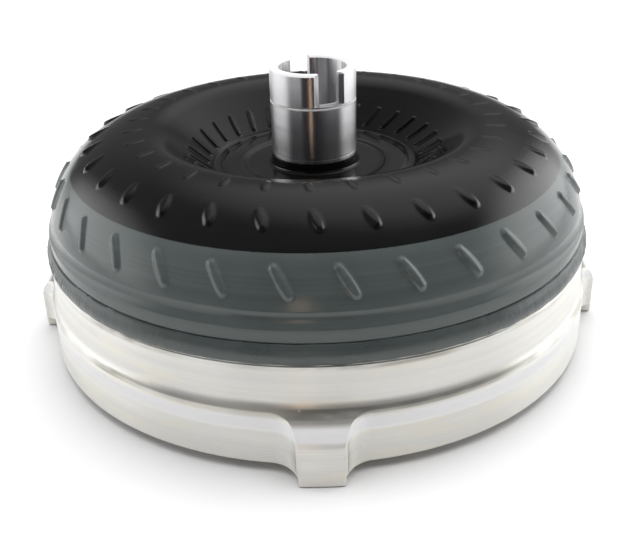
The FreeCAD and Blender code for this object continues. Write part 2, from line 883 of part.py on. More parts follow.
def make_stator_wheel():
    body = new_body("stator_wheel")
    groove_floor = "snap_outer + snap_radial_gap"
    revolve(body, "hub_ring", [
        ("stator_counterbore", "stator_front"),
        ("stator_hub_outer", "stator_front"),
        ("stator_hub_outer", "stator_rear"),
        ("stator_counterbore", "stator_rear"),
        ("stator_counterbore", "snap_top + snap_side_gap"),
        (groove_floor, "snap_top + snap_side_gap"),
        (groove_floor, "snap_bottom - snap_side_gap"),
        ("stator_counterbore", "snap_bottom - snap_side_gap"),
        ("stator_counterbore", "clutch_rear"),
        ("stator_seat", "clutch_rear"),
        ("stator_seat", "clutch_front"),
        ("stator_counterbore", "clutch_front"),
    ])
    blade = sketch_on(body, "blade", "YZ_Plane", "stator_hub_outer - overlap")
    outline(blade, [
        ("blade_sweep", "blade_rear", "blade_belly_arc", "right"),
        ("-blade_sweep", "blade_front", "blade_back_arc", "left"),
    ])
    span = "shroud_inner - stator_hub_outer + 2 * overlap"
    repeat(body, extrude(body, "blade_pad", blade, span), "blade_count")
    revolve(body, "shroud", box_corners("shroud_inner", "shroud_outer", "shroud_front", "shroud_rear"))
    keep(body, "stator_wheel")


def make_cam_race():
    body = new_body("stator_cam_race")
    revolve(body, "race", box_corners("cam_inner", "cam_outer", "clutch_front", "clutch_rear"))
    notch = sketch_on(body, "notch", "XY_Plane")
    start = "notch_start * 1deg"
    end = "notch_end * 1deg"
    near = "cam_inner - overlap"
    outline(notch, [
        (f"({near}) * cos({start})", f"-({near}) * sin({start})"),
        (f"notch_radius * cos({start})", f"-notch_radius * sin({start})"),
        (f"notch_radius * cos({end})", f"notch_radius * sin({end})", "notch_radius", "left"),
        (f"({near}) * cos({end})", f"({near}) * sin({end})"),
    ])
    repeat(body, cut_through(body, "notches", notch), "roller_count")
    keep(body, "stator_cam_race")


def make_clutch_rollers():
    placement = FreeCAD.Placement(
        FreeCAD.Vector(number("roller_circle"), 0, number("clutch_front + end_float")),
        FreeCAD.Rotation(),
    )
    length = "clutch_rear - clutch_front - 2 * end_float"
    cylinders("clutch_rollers", "roller_count", "roller_radius", length, placement)


def make_roller_springs():
    """Accordion leaf springs that press each roller into its wedge."""
    leaf = number("leaf_thickness")
    folds = int(number("leaf_folds"))
    step = number("leaf_reach") / folds
    start = number("roller_radius") + leaf
    near = number("cam_inner + leaf_inset")
    far = number("notch_radius - leaf_inset")
    base = number("clutch_front + 2 * end_float")
    height = FreeCAD.Vector(0, 0, number("clutch_rear - clutch_front - 4 * end_float"))
    turns = [(near if fold % 2 else far, start + step * fold) for fold in range(folds + 1)]
    leaves = []
    for (x0, y0), (x1, y1) in zip(turns, turns[1:]):
        corners = [(x0, y0), (x1, y1), (x1, y1 + leaf), (x0, y0 + leaf), (x0, y0)]
        face = Part.Face(Part.makePolygon([FreeCAD.Vector(x, y, base) for x, y in corners]))
        leaves.append(face.extrude(height))
    spring = leaves[0].multiFuse(leaves[1:])
    loose_copies("roller_springs", spring, int(number("roller_count")))


def make_inner_race():
    body = new_body("stator_inner_race")
    bottom = "clutch_front + end_float"
    top = "clutch_rear - end_float"
    revolve(body, "race", box_corners("inner_race_bore", "inner_race_outer", bottom, top))
    cut_splines(body, "inner_race_bore", "race_spline_count")
    keep(body, "stator_inner_race")


def make_snap_ring():
    body = new_body("stator_snap_ring")
    corners = box_corners("snap_inner", "snap_outer", "snap_bottom", "snap_top")
    revolve(body, "ring", corners, degrees=360.0 - number("snap_opening"))
    keep(body, "stator_snap_ring")


# --------------------------------------------------------- damper and lock-up

def make_driven_plate():
    body = new_body("damper_driven_plate")
    revolve(body, "ring", box_corners("driven_inner", "driven_outer", "driven_bottom", "driven_top"))
    tab = sketch_on(body, "tab", "XY_Plane", "tab_bottom")
    outline(tab, sector("driven_inner", "tab_outer", "tab_half_angle"))
    repeat(body, extrude(body, "tab_pad", tab, "driven_bottom - tab_bottom + overlap"), "spring_count")
    keep(body, "damper_driven_plate")


def make_damper_retainer():
    body = new_body("damper_retainer")
    plate_top = "retainer_bottom + retainer_wall"
    revolve(body, "channel", [
        ("retainer_inner", "retainer_bottom"),
        ("retainer_outer", "retainer_bottom"),
        ("retainer_outer", "retainer_top"),
        ("retainer_outer - retainer_wall", "retainer_top"),
        ("retainer_outer - retainer_wall", plate_top),
        ("retainer_lip + retainer_wall", plate_top),
        ("retainer_lip + retainer_wall", "retainer_lip_top"),
        ("retainer_lip", "retainer_lip_top"),
        ("retainer_lip", plate_top),
        ("retainer_inner", plate_top),
    ])
    floor = "retainer_bottom + retainer_wall / 2"
    wall = "(retainer_outer - retainer_wall / 2)"
    lip = "(retainer_lip + retainer_wall / 2)"
    for name, inner, outer in (
        ("outer_stop", f"({wall} - stop_depth)", wall),
        ("inner_stop", lip, f"({lip} + stop_depth)"),
    ):
        sketch = sketch_on(body, name, "XY_Plane", floor)
        outline(sketch, sector(inner, outer, "tab_half_angle"))
        height = f"stop_top - ({floor})"
        repeat(body, extrude(body, f"{name}_pad", sketch, height), "spring_count")
    hole = sketch_on(body, "pin_hole", "XY_Plane")
    circle(hole, "pin_hole_radius", "pin_circle")
    repeat(body, cut_through(body, "pin_drilling", hole), "pin_count")
    keep(body, "damper_retainer")


def make_damper_springs():
    """Coil springs that lie along chords, half way between the driven tabs."""
    coil = number("spring_coil")
    wire_radius = number("spring_wire")
    helix = Part.makeHelix(number("spring_pitch"), number("spring_length"), coil)
    section = Part.Wire([Part.makeCircle(
        wire_radius, FreeCAD.Vector(coil, 0, 0), FreeCAD.Vector(0, 1, 0))])
    spring = Part.Wire(helix).makePipeShell([section], True, True)
    middle = number("spring_length") / 2
    circle_radius = number("spring_circle")
    spring.translate(FreeCAD.Vector(0, 0, -middle))
    spring.rotate(FreeCAD.Vector(0, 0, 0), FreeCAD.Vector(1, 0, 0), 90)
    spring.translate(FreeCAD.Vector(circle_radius, 0, number("spring_height")))
    half_pitch = 360.0 / number("spring_count") / 2
    spring.rotate(FreeCAD.Vector(0, 0, 0), FreeCAD.Vector(0, 0, 1), half_pitch)
    loose_copies("damper_springs", spring, int(number("spring_count")))


def make_clutch_piston():
    body = new_body("clutch_piston")
    web_top = "piston_web + piston_wall"
    face_top = "piston_face + piston_wall"
    revolve(body, "disc", [
        ("piston_bore", "piston_web"),
        ("piston_web_outer", "piston_web"),
        ("piston_face_inner", "piston_face"),
        ("piston_outer", "piston_face"),
        ("piston_outer", face_top),
        ("piston_face_inner", face_top),
        ("piston_web_outer", web_top),
        ("piston_collar", web_top),
        ("piston_collar", "piston_collar_top"),
        ("piston_bore", "piston_collar_top"),
    ])
    keep(body, "clutch_piston")


def make_piston_drive_pins():
    placement = FreeCAD.Placement(
        FreeCAD.Vector(number("pin_circle"), 0, number("piston_face + piston_wall")),
        FreeCAD.Rotation(),
    )
    length = "pin_top - piston_face - piston_wall"
    cylinders("piston_drive_pins", "pin_count", "pin_radius", length, placement)


# ------------------------------------------------------------------- assembly

def make_assembly():
    make_front_cover()
    make_crank_pilot()
    make_closing_weld()
    make_impeller_shell()
    make_impeller_hub()
    make_hub_weld()
    make_core_ring("impeller_core_ring", "impeller_mouth", "+")
    make_vanes("impeller_vanes", "impeller_vane_count", "impeller_lean", "impeller_mouth", "+",
               IMPELLER_PASSAGE)
    ring("cover_thrust_washer", "washer_inner", "washer_outer", "cover_inside", "washer_top")

    make_turbine_shell()
    make_turbine_hub()
    make_turbine_rivets()
    make_core_ring("turbine_core_ring", "turbine_mouth", "-")
    make_vanes("turbine_vanes", "turbine_vane_count", "turbine_lean", "turbine_mouth", "-",
               TURBINE_PASSAGE)
    ring("piston_inner_seal", "seal_groove_radius", "piston_journal",
         "seal_groove_bottom", "seal_groove_top")

    make_thrust_bearing(
        "front_bearing", "front_bearing_inner", "front_bearing_outer",
        ("front_bearing_turbine_race", "turbine_hub_rear"),
        ("front_bearing_stator_race", "(stator_front - race_thickness)"),
        "front_needle_count", "front_needle_length")
    make_thrust_bearing(
        "rear_bearing", "rear_bearing_inner", "rear_bearing_outer",
        ("rear_bearing_stator_race", "rear_cap_top"),
        ("rear_bearing_hub_race", "(floor_under - race_thickness)"),
        "rear_needle_count", "rear_needle_length")

    make_stator_wheel()
    make_cam_race()
    make_clutch_rollers()
    make_roller_springs()
    ring("stator_front_cap", "cap_inner", "cap_outer", "stator_front", "clutch_front")
    ring("stator_rear_cap", "cap_inner", "cap_outer", "clutch_rear", "rear_cap_top")
    make_snap_ring()
    make_inner_race()

    make_driven_plate()
    make_damper_retainer()
    make_damper_springs()
    make_clutch_piston()
    make_piston_drive_pins()
    ring("friction_lining", "lining_inner", "lining_outer", "lining_bottom", "piston_face")


def check_document():
    for item in document.Objects:
        faults = [state for state in item.State if state in ("Invalid", "Error")]
        if faults:
            raise RuntimeError(f"{item.Label} did not compute: {faults}")
    for subpart in SUBPARTS:
        shape = subpart.Shape
        if shape.isNull() or not shape.isValid() or not shape.Solids:
            raise RuntimeError(f"{subpart.Label} has no valid solid")


def write_parts():
    os.makedirs("parts", exist_ok=True)
    for subpart in SUBPARTS:
        subpart.Shape.exportStep(f"parts/{subpart.Label}.step")
        print(f"{subpart.Label}: {len(subpart.Shape.Solids)} solids, {subpart.Shape.Volume:.0f} mm3")


fill_sheet()
make_assembly()
document.recompute()
check_document()
write_parts()
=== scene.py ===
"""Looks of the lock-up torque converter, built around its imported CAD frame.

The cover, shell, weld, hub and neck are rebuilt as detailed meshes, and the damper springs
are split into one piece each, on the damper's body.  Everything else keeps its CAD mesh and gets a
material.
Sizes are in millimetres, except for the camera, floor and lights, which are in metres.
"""
import json
import math

import bmesh
import bpy
import numpy as np
from mathutils import Matrix, Vector


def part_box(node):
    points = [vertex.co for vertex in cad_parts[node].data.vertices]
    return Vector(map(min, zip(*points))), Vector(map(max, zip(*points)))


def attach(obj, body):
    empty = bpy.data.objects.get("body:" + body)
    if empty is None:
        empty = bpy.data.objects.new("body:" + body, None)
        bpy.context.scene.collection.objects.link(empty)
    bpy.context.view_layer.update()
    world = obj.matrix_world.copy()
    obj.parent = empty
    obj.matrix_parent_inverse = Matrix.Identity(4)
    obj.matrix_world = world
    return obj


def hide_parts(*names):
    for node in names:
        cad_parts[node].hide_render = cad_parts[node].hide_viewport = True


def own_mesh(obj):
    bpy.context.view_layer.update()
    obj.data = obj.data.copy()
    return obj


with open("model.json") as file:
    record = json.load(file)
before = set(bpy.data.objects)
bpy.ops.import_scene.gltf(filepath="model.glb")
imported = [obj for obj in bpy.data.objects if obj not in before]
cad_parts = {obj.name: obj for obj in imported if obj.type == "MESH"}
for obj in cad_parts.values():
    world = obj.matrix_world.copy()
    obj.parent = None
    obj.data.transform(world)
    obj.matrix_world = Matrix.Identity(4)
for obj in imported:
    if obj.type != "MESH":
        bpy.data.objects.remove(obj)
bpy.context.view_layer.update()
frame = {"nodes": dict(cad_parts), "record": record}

MM = 0.001
MOUNTS = {mount["name"]: mount for mount in frame["record"]["mounts"]}


def mount_size(mount, key):
    return MOUNTS[mount]["dims"][key]


def reach(node):
    """Radius, bottom and top of a CAD node."""
    low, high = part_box(node)
    return high.x / MM, low.z / MM, high.z / MM


# ---------------------------------------------------------------- sizes

# Front cover
FLANGE_RADIUS = reach("front_cover")[0]
COVER_LIP_TOP = reach("front_cover")[2]
LIP_OUTER = 144.0
WALL_OUTER = 147.5
WALL_INNER = 141.5
WALL_TOP = 56.5
UNDERCUT = 0.5
COVER_FRONT = 5.2
COVER_INSIDE = 20.0
INSIDE_FILLET = 5.0
RECESS_RADIUS = 116.0
RECESS_DEPTH = 3.8
PILOT_SEAT_RADIUS = 14.0
PILOT_SEAT_TOP = 15.0
BAND_RADIUS = 150.0
SHOULDER_BOTTOM = 20.5
SHOULDER_INNER = 151.1
SHOULDER_TOP = 32.5
SHOULDER_ARC = 16.0
COVE_TOP = 38.0
COVE_ARC = 6.0

# Lugs
LUG_COUNT = 4
LUG_HALF_WIDTH = 10.7
LUG_ROOT = 15.0
LUG_CORNER = 0.8
LUG_CLEARANCE = 0.03     # between a lug's side and the first free point of the face beside it
FOOT_INNER = 131.0
FOOT_CHAMFER = 0.8
EDGE_BREAK = 0.4
HOLE_CIRCLE = mount_size("lug_bolt_circle", "pcd_mm") / 2
HOLE_RADIUS = mount_size("lug_bolt_circle", "hole_r_mm")
HOLE_DEPTH = 15.0
HOLE_COLUMNS = 48

# Closing weld and impeller shell
SEAM_HEIGHT = 61.5
WELD_TOP = 66.5
WELD_CROWN = 148.4
SKIRT_OUTER = 146.0
SKIRT_TOP = 73.4
LEDGE_OUTER = 144.9
LEDGE_TOP = 74.4
LEDGE_ARC = 9.0
TORUS_FOOT = 80.2
SHELL_WALL = 4.0
TORUS_RADIUS = 93.0
TORUS_HEIGHT = 66.1
TORUS_ARC = 52.5
BOWL_HEIGHT = 96.1
BOWL_ARC = 22.5
BOWL_SLOPE = math.radians(36.87)
FLOOR_TOP = 95.5
FLOOR_UNDER = 90.0
FLOOR_STEP_RADIUS = 38.0
FLOOR_STEP = 0.7
FLOOR_RING_RADIUS = 51.0
PAINT_EDGE = 131.2

# Pump hub
HUB_OUTER = mount_size("pump_hub_journal", "r_mm")
HUB_BORE = mount_size("pump_hub_bore", "r_mm")
HUB_TOP = reach("impeller_hub")[2]
HUB_FLANGE = reach("impeller_hub")[0]
HUB_FLANGE_TOP = 93.0
HUB_CHAMFER = 1.0
SCRIBE_HEIGHT = 130.8
SCRIBE_DEPTH = 0.5
RELIEF_HEIGHT = 102.6
RELIEF_DEPTH = 0.12
RELIEF_WIDTH = 0.8
SLOT_WIDTH = 11.2
SLOT_BOTTOM = 131.8
SLOT_CORNER = 1.2
SLOT_CHAMFER = (2.8, 0.8)
SLOT_AZIMUTH = math.radians(23.0)
HUB_EDGE = 0.35
HUB_CREASE = 25.0
NECK_OUTER = 23.4
NECK_TOP = 101.2
NECK_ARC = 2.4
NECK_ROUND = 0.6

# Small gaps and overlaps between pieces that meet
FIT_GAP = 0.1
FACE_GAP = 0.05
NECK_GAP = 0.02
NECK_SINK = 0.3
CUTTER_MARGIN = 2.0
CHAMFER_MARGIN = 1.0
CHAMFER_FOOT = 0.2

# Columns of a turned piece and of the hub
LATHE_COLUMNS = 384
HUB_COLUMNS = 192


# ---------------------------------------------------------------- half-sections

def walk(start, *moves):
    """Points of a half-section, radius and height.

    A move is (radius, height) for a straight run, or (radius, height, arc, spacing),
    where arc is a radius, positive turning left, and 0 keeps the run straight.
    """
    points = [start]
    for move in moves:
        end = move[:2]
        arc, spacing = move[2:] if len(move) == 4 else (0.0, math.inf)
        points += stretch(points[-1], end, arc, spacing)
    return np.array(points)


def stretch(start, end, arc, spacing):
    """Points after start up to end, along a straight run or a minor arc."""
    start, end = np.array(start, float), np.array(end, float)
    chord = end - start
    length = np.linalg.norm(chord)
    if arc == 0.0:
        count = max(1, math.ceil(length / spacing))
        return [tuple(start + chord * (step + 1) / count) for step in range(count)]
    half_turn = math.asin(length / (2 * abs(arc)))
    left = np.array([-chord[1], chord[0]]) / length * math.copysign(1.0, arc)
    centre = (start + end) / 2 + left * abs(arc) * math.cos(half_turn)
    first = math.atan2(*(start - centre)[::-1])
    turn = math.copysign(2 * half_turn, arc)
    count = max(1, math.ceil(2 * half_turn * abs(arc) / spacing))
    angles = [first + turn * (step + 1) / count for step in range(count)]
    return [tuple(centre + abs(arc) * np.array([math.cos(a), math.sin(a)])) for a in angles]


def run_lengths(points):
    """Distance along a half-section at each of its points."""
    return np.concatenate([[0.0], np.cumsum(np.linalg.norm(np.diff(points, axis=0), axis=1))])


def even_columns(count):
    return np.arange(count) * 2 * math.pi / count


def turned_rows(points, azimuths):
    """Grid of the surface that a half-section sweeps: rows along it, columns around it."""
    radius = points[:, 0][:, None]
    height = np.broadcast_to(points[:, 1][:, None], (len(points), len(azimuths)))
    return np.stack([radius * np.sin(azimuths), -radius * np.cos(azimuths), height], axis=2)


# ---------------------------------------------------------------- meshes

def new_piece(name, vertices, faces, crease=30.0):
    """Mesh piece from millimetre vertices, smooth except where faces meet at over crease degrees."""
    mesh = bpy.data.meshes.new(name)
    mesh.from_pydata((np.asarray(vertices, float) * MM).tolist(), [], faces)
    mesh.validate()
    return finish_mesh(bpy.data.objects.new(name, mesh), crease)


def finish_mesh(piece, crease=30.0):
    if piece.name not in bpy.context.scene.collection.objects:
        bpy.context.scene.collection.objects.link(piece)
    shape = bmesh.new()
    shape.from_mesh(piece.data)
    bmesh.ops.recalc_face_normals(shape, faces=shape.faces)
    shape.to_mesh(piece.data)
    shape.free()
    piece.data.polygons.foreach_set("use_smooth", [True] * len(piece.data.polygons))
    piece.data.set_sharp_from_angle(angle=math.radians(crease))
    return piece


def ring_faces(rows, columns, closed):
    """Quads of a grid that closes around its columns and, where closed, along its rows."""
    row = np.arange(rows if closed else rows - 1)[:, None]
    column = np.arange(columns)[None, :]
    near, far = row * columns, (row + 1) % rows * columns
    right = (column + 1) % columns
    corners = [near + column, near + right, far + right, far + column]
    return np.stack(np.broadcast_arrays(*corners), axis=2).reshape(-1, 4).tolist()


def closed_grid(name, grid, crease=30.0):
    """Ring-shaped solid from a grid that closes both ways."""
    rows, columns = grid.shape[:2]
    return new_piece(name, grid.reshape(-1, 3), ring_faces(rows, columns, True), crease)


def capped_grid(name, grid, first, last, crease=30.0):
    """Solid from a grid whose two ends close on points of the axis, at heights first and last."""
    rows, columns = grid.shape[:2]
    faces = ring_faces(rows, columns, False)
    total = rows * columns
    for pole, start in ((total, 0), (total + 1, total - columns)):
        faces += [(pole, start + column, start + (column + 1) % columns) for column in range(columns)]
    poles = [(0.0, 0.0, first), (0.0, 0.0, last)]
    return new_piece(name, np.vstack([grid.reshape(-1, 3), poles]), faces, crease)


def turned_ring(name, points, crease=30.0, columns=LATHE_COLUMNS):
    return closed_grid(name, turned_rows(points, even_columns(columns)), crease)


def turned_plug(name, points, columns, place):
    """Turned cutter whose section starts and ends on its own axis."""
    grid = turned_rows(points[1:-1], even_columns(columns))
    plug = capped_grid(name, grid, points[0][1], points[-1][1])
    plug.data.transform(Matrix.Translation(Vector(place) * MM))
    return plug


def cut(piece, cutters):
    """Takes the cutters out of a piece and throws them away."""
    for cutter in cutters:
        step = piece.modifiers.new("cut", "BOOLEAN")
        step.operation = "DIFFERENCE"
        step.solver = "EXACT"
        step.object = cutter
    apply_modifiers(piece)
    for cutter in cutters:
        bpy.data.objects.remove(cutter)


def apply_modifiers(piece):
    graph = bpy.context.evaluated_depsgraph_get()
    shaped = bpy.data.meshes.new_from_object(piece.evaluated_get(graph))
    piece.modifiers.clear()
    piece.data = shaped


# ---------------------------------------------------------------- front cover

def shoulder_section():
    """The flange's rounded shoulder and the cove that leads up to the wall."""
    return walk(
        (FLANGE_RADIUS, SHOULDER_BOTTOM),
        (SHOULDER_INNER, SHOULDER_TOP, SHOULDER_ARC, 0.3),
        (WALL_OUTER, COVE_TOP, -COVE_ARC, 0.3),
    )


# Steps of the cover's plan along a lug's face, corner and root, and along the band, and of
# its section along the foot and the shoulder
FACE_STEPS = 6
CORNER_STEPS = 4
ROOT_STEPS = 18
BAND_STEPS = 40
FOOT_STEPS = 6
SHOULDER_STEPS = 30


def lug_outline():
    """Half of one lug and of the milled band beside it, in plan, as (across, out, in_foot)."""
    mill = BAND_RADIUS + LUG_ROOT
    centre_across = LUG_HALF_WIDTH + LUG_ROOT
    centre_out = math.sqrt(mill ** 2 - centre_across ** 2)
    face_end = LUG_HALF_WIDTH - LUG_CORNER
    outline = []
    for step in range(FACE_STEPS + 1):
        across = face_end * step / FACE_STEPS
        outline.append((across, math.sqrt(FLANGE_RADIUS ** 2 - across ** 2), True))
    corner_out = outline[-1][1] - LUG_CORNER
    for step in range(1, CORNER_STEPS):
        turn = math.pi / 2 * step / CORNER_STEPS
        across = face_end + LUG_CORNER * math.sin(turn)
        outline.append((across, corner_out + LUG_CORNER * math.cos(turn), True))
    outline.append((LUG_HALF_WIDTH, corner_out, True))
    first = math.asin((centre_out - corner_out + EDGE_BREAK) / LUG_ROOT)
    last = math.atan2(centre_out, centre_across)
    for step in range(ROOT_STEPS + 1):
        turn = first + (last - first) * step / ROOT_STEPS
        across = centre_across - LUG_ROOT * math.cos(turn)
        outline.append((across, centre_out - LUG_ROOT * math.sin(turn), False))
    band_start = math.atan2(outline[-1][0], outline[-1][1])
    quarter = math.pi / LUG_COUNT
    for step in range(1, BAND_STEPS + 1):
        turn = band_start + (quarter - band_start) * step / BAND_STEPS
        outline.append((BAND_RADIUS * math.sin(turn), BAND_RADIUS * math.cos(turn), False))
    return np.array(outline)


def cover_columns():
    """Plan outline of the whole cover: azimuth, radius, signed distance across its lug, lug, in_foot."""
    across, out, foot = lug_outline().T
    azimuth, radius = np.arctan2(across, out), np.hypot(across, out)
    side = np.stack([azimuth, radius, across, foot])
    mirror = side[:, 1:-1][:, ::-1] * np.array([[-1], [1], [-1], [1]])
    lug = np.concatenate([mirror, side], axis=1)
    turns = []
    for index in range(LUG_COUNT):
        turns.append(np.vstack([lug, np.full(lug.shape[1], index * 2 * math.pi / LUG_COUNT)]))
    return np.concatenate(turns, axis=1)


def plan_points(across, out, lug, height):
    """Points given across and out from the axis towards a lug."""
    sine, cosine = np.sin(lug), np.cos(lug)
    x = across * cosine + out * sine
    y = across * sine - out * cosine
    return np.stack([x, y, np.broadcast_to(height, x.shape)], axis=1)


def underside_rows(azimuth, radius, across, foot, lug):
    """The cover's front face between the outline and the feet's inner ends, feet included."""
    foot = foot > 0.5
    side = np.sign(across)
    foot_edge = LUG_HALF_WIDTH - FOOT_CHAMFER
    sloped = np.clip((np.abs(across) - foot_edge) / FOOT_CHAMFER, 0.0, 1.0)
    foot_out = radius * np.cos(azimuth)
    first_free = np.min(np.abs(azimuth[~foot]))
    quarter = math.pi / LUG_COUNT
    rows = []

    def row(free_radius, foot_place, foot_height):
        start = np.arcsin(np.minimum((LUG_HALF_WIDTH + LUG_CLEARANCE) / free_radius, 1.0))
        share = (np.abs(azimuth) - first_free) / (quarter - first_free)
        turn = side * (start + (quarter - start) * share)
        free = plan_points(free_radius * np.sin(turn), free_radius * np.cos(turn), lug, COVER_FRONT)
        footed = plan_points(across, foot_place, lug, 0.0)
        footed[:, 2] = foot_height
        rows.append(np.where(foot[:, None], footed, free))

    pad_height = sloped * FOOT_CHAMFER
    pad_outer = foot_out - FOOT_CHAMFER
    pad_inner = FOOT_INNER + FOOT_CHAMFER
    row(radius - EDGE_BREAK, foot_out, FOOT_CHAMFER)
    row(radius - 3 * EDGE_BREAK, pad_outer, pad_height)
    for step in range(1, FOOT_STEPS):
        share = step / FOOT_STEPS
        free = (radius - 3 * EDGE_BREAK) * (1 - share) + (pad_inner + EDGE_BREAK) * share
        row(free, pad_outer * (1 - share) + pad_inner * share, pad_height)
    for free, foot_place, height in (
        (pad_inner, pad_inner, pad_height),
        (FOOT_INNER + EDGE_BREAK, FOOT_INNER, FOOT_CHAMFER),
        (FOOT_INNER, FOOT_INNER, COVER_FRONT),
    ):
        row(np.full_like(radius, free), np.full_like(radius, foot_place), height)
    return rows


def shoulder_rows(azimuth, radius, lug):
    """From the milled or turned side of the outline, over its broken edge, to the wall."""
    section = shoulder_section()
    lengths = run_lengths(section)
    start = np.interp(-radius, -section[:, 0], lengths)
    edge_height = np.interp(start, lengths, section[:, 1])
    turn = azimuth + lug
    rows = []
    for level in (COVER_FRONT + EDGE_BREAK, edge_height / 2, edge_height - EDGE_BREAK):
        rows.append((radius, np.broadcast_to(level, radius.shape)))
    for step in range(SHOULDER_STEPS + 1):
        along = start + EDGE_BREAK + (lengths[-1] - start - EDGE_BREAK) * step / SHOULDER_STEPS
        rows.append((np.interp(along, lengths, section[:, 0]), np.interp(along, lengths, section[:, 1])))
    return [np.stack([out * np.sin(turn), -out * np.cos(turn), height], axis=1) for out, height in rows]


def make_cover():
    azimuth, radius, across, foot, lug = cover_columns()
    recess_face = COVER_FRONT + RECESS_DEPTH
    front = walk(
        (PILOT_SEAT_RADIUS / 2, PILOT_SEAT_TOP),
        (PILOT_SEAT_RADIUS, PILOT_SEAT_TOP),
        (PILOT_SEAT_RADIUS, recess_face),
        (RECESS_RADIUS, recess_face),
        (RECESS_RADIUS + RECESS_DEPTH, COVER_FRONT),
    )
    inside = walk(
        (WALL_OUTER, WALL_TOP - 2 * UNDERCUT),
        (WALL_OUTER - UNDERCUT, WALL_TOP - UNDERCUT),
        (WALL_OUTER - UNDERCUT, WALL_TOP),
        (LIP_OUTER, WALL_TOP),
        (LIP_OUTER, COVER_LIP_TOP),
        (WALL_INNER, COVER_LIP_TOP),
        (WALL_INNER, COVER_INSIDE + INSIDE_FILLET),
        (WALL_INNER - INSIDE_FILLET, COVER_INSIDE, -INSIDE_FILLET, 1.0),
        (PILOT_SEAT_RADIUS, COVER_INSIDE),
    )
    turn = azimuth + lug
    rows = list(turned_rows(front, turn))
    rows += underside_rows(azimuth, radius, across, foot, lug)[::-1]
    rows += shoulder_rows(azimuth, radius, lug)
    rows += list(turned_rows(inside, turn))
    cover = capped_grid("cover", np.array(rows), PILOT_SEAT_TOP, COVER_INSIDE)
    drill = walk(
        (0.0, HOLE_DEPTH + HOLE_RADIUS / 2),
        (HOLE_RADIUS, HOLE_DEPTH),
        (HOLE_RADIUS, EDGE_BREAK),
        (HOLE_RADIUS + 3 * EDGE_BREAK, -2 * EDGE_BREAK),
        (0.0, -2 * EDGE_BREAK),
    )
    cutters = []
    for index in range(LUG_COUNT):
        angle = index * 2 * math.pi / LUG_COUNT
        place = (HOLE_CIRCLE * math.sin(angle), -HOLE_CIRCLE * math.cos(angle), 0.0)
        cutters.append(turned_plug(f"drill_{index}", drill, HOLE_COLUMNS, place))
    cut(cover, cutters)
    finish_mesh(cover)
    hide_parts("front_cover")
    return cover


# ---------------------------------------------------------------- impeller shell

# Each row of pressed vane seats: radius of the inner and outer end, azimuth of the
# middle, lean of the outer end past the inner one, half width, height, edge width, taper
# of the width towards both ends, and fade of the height towards the inner end.
VANE_COUNT = 31
SEAT_ROWS = (
    dict(inner=135.6, outer=141.2, middle=5.3, lean=2.8, half_width=1.0, rise=1.5, edge=2.0, taper=0.4,
         fade=0.0),
    dict(inner=115.0, outer=122.5, middle=0.1, lean=1.4, half_width=1.1, rise=1.5, edge=2.2, taper=0.6,
         fade=0.75),
    dict(inner=84.5, outer=100.5, middle=9.9, lean=1.0, half_width=1.0, rise=0.45, edge=1.3, taper=0.5,
         fade=0.0),
    dict(inner=58.5, outer=68.2, middle=7.3, lean=-3.0, half_width=0.9, rise=1.3, edge=1.1, taper=0.3,
         fade=0.0),
)
SHELL_COLUMNS = VANE_COUNT * 36
SEAT_SPACING = 0.75


def cone_meets(level, start):
    """Radius where the bowl's cone, from start downwards, reaches a level."""
    return start[0] - (start[1] - level) / math.tan(BOWL_SLOPE)


def shell_outside():
    """Outer half-section of the shell, from the weld over the crest to the hub."""
    torus_foot = TORUS_RADIUS + math.sqrt(TORUS_ARC ** 2 - (TORUS_FOOT - TORUS_HEIGHT) ** 2)
    crest = (TORUS_RADIUS, TORUS_HEIGHT + TORUS_ARC)
    cone = (TORUS_RADIUS - BOWL_ARC * math.sin(BOWL_SLOPE), BOWL_HEIGHT + BOWL_ARC * math.cos(BOWL_SLOPE))
    floor_edge = cone_meets(FLOOR_TOP, cone)
    step = FLOOR_STEP / 2
    return walk(
        (SKIRT_OUTER - 0.8, WELD_TOP - 0.6),
        (SKIRT_OUTER, WELD_TOP + 0.5),
        (SKIRT_OUTER, SKIRT_TOP - 0.5, 0.0, 2.0),
        (SKIRT_OUTER - 0.3, SKIRT_TOP, 0.8, 0.2),
        (LEDGE_OUTER, LEDGE_TOP, 0.0, 0.4),
        (torus_foot, TORUS_FOOT, -LEDGE_ARC, 0.5),
        (*crest, TORUS_ARC, SEAT_SPACING),
        (*cone, BOWL_ARC, SEAT_SPACING),
        (cone_meets(FLOOR_TOP + 1.0, cone), FLOOR_TOP + 1.0, 0.0, SEAT_SPACING),
        (floor_edge - 0.6, FLOOR_TOP, -2.5, 0.4),
        (FLOOR_RING_RADIUS + 0.6, FLOOR_TOP, 0.0, 1.0),
        (FLOOR_RING_RADIUS, FLOOR_TOP + step, 0.0, 0.4),
        (FLOOR_STEP_RADIUS + 1.2, FLOOR_TOP + step, 0.0, 3.0),
        (FLOOR_STEP_RADIUS, FLOOR_TOP - step, 0.0, 0.5),
        (HUB_OUTER + FIT_GAP, FLOOR_TOP - step, 0.0, 3.0),
    )


def shell_inside():
    """Inner half-section of the shell, from the hub flange back to the weld root."""
    arc = TORUS_ARC - SHELL_WALL
    bowl = BOWL_ARC - SHELL_WALL
    cone = (TORUS_RADIUS - bowl * math.sin(BOWL_SLOPE), BOWL_HEIGHT + bowl * math.cos(BOWL_SLOPE))
    return walk(
        (HUB_OUTER + FIT_GAP, HUB_FLANGE_TOP),
        (HUB_FLANGE, HUB_FLANGE_TOP),
        (HUB_FLANGE, FLOOR_UNDER),
        (cone_meets(FLOOR_UNDER, cone), FLOOR_UNDER),
        cone,
        (TORUS_RADIUS, TORUS_HEIGHT + arc, -bowl, 3.0),
        (WALL_INNER, TORUS_HEIGHT, -arc, 4.0),
        (WALL_INNER, SEAM_HEIGHT),
        (LIP_OUTER, SEAM_HEIGHT),
        (LIP_OUTER, WELD_TOP - 1.2),
    )


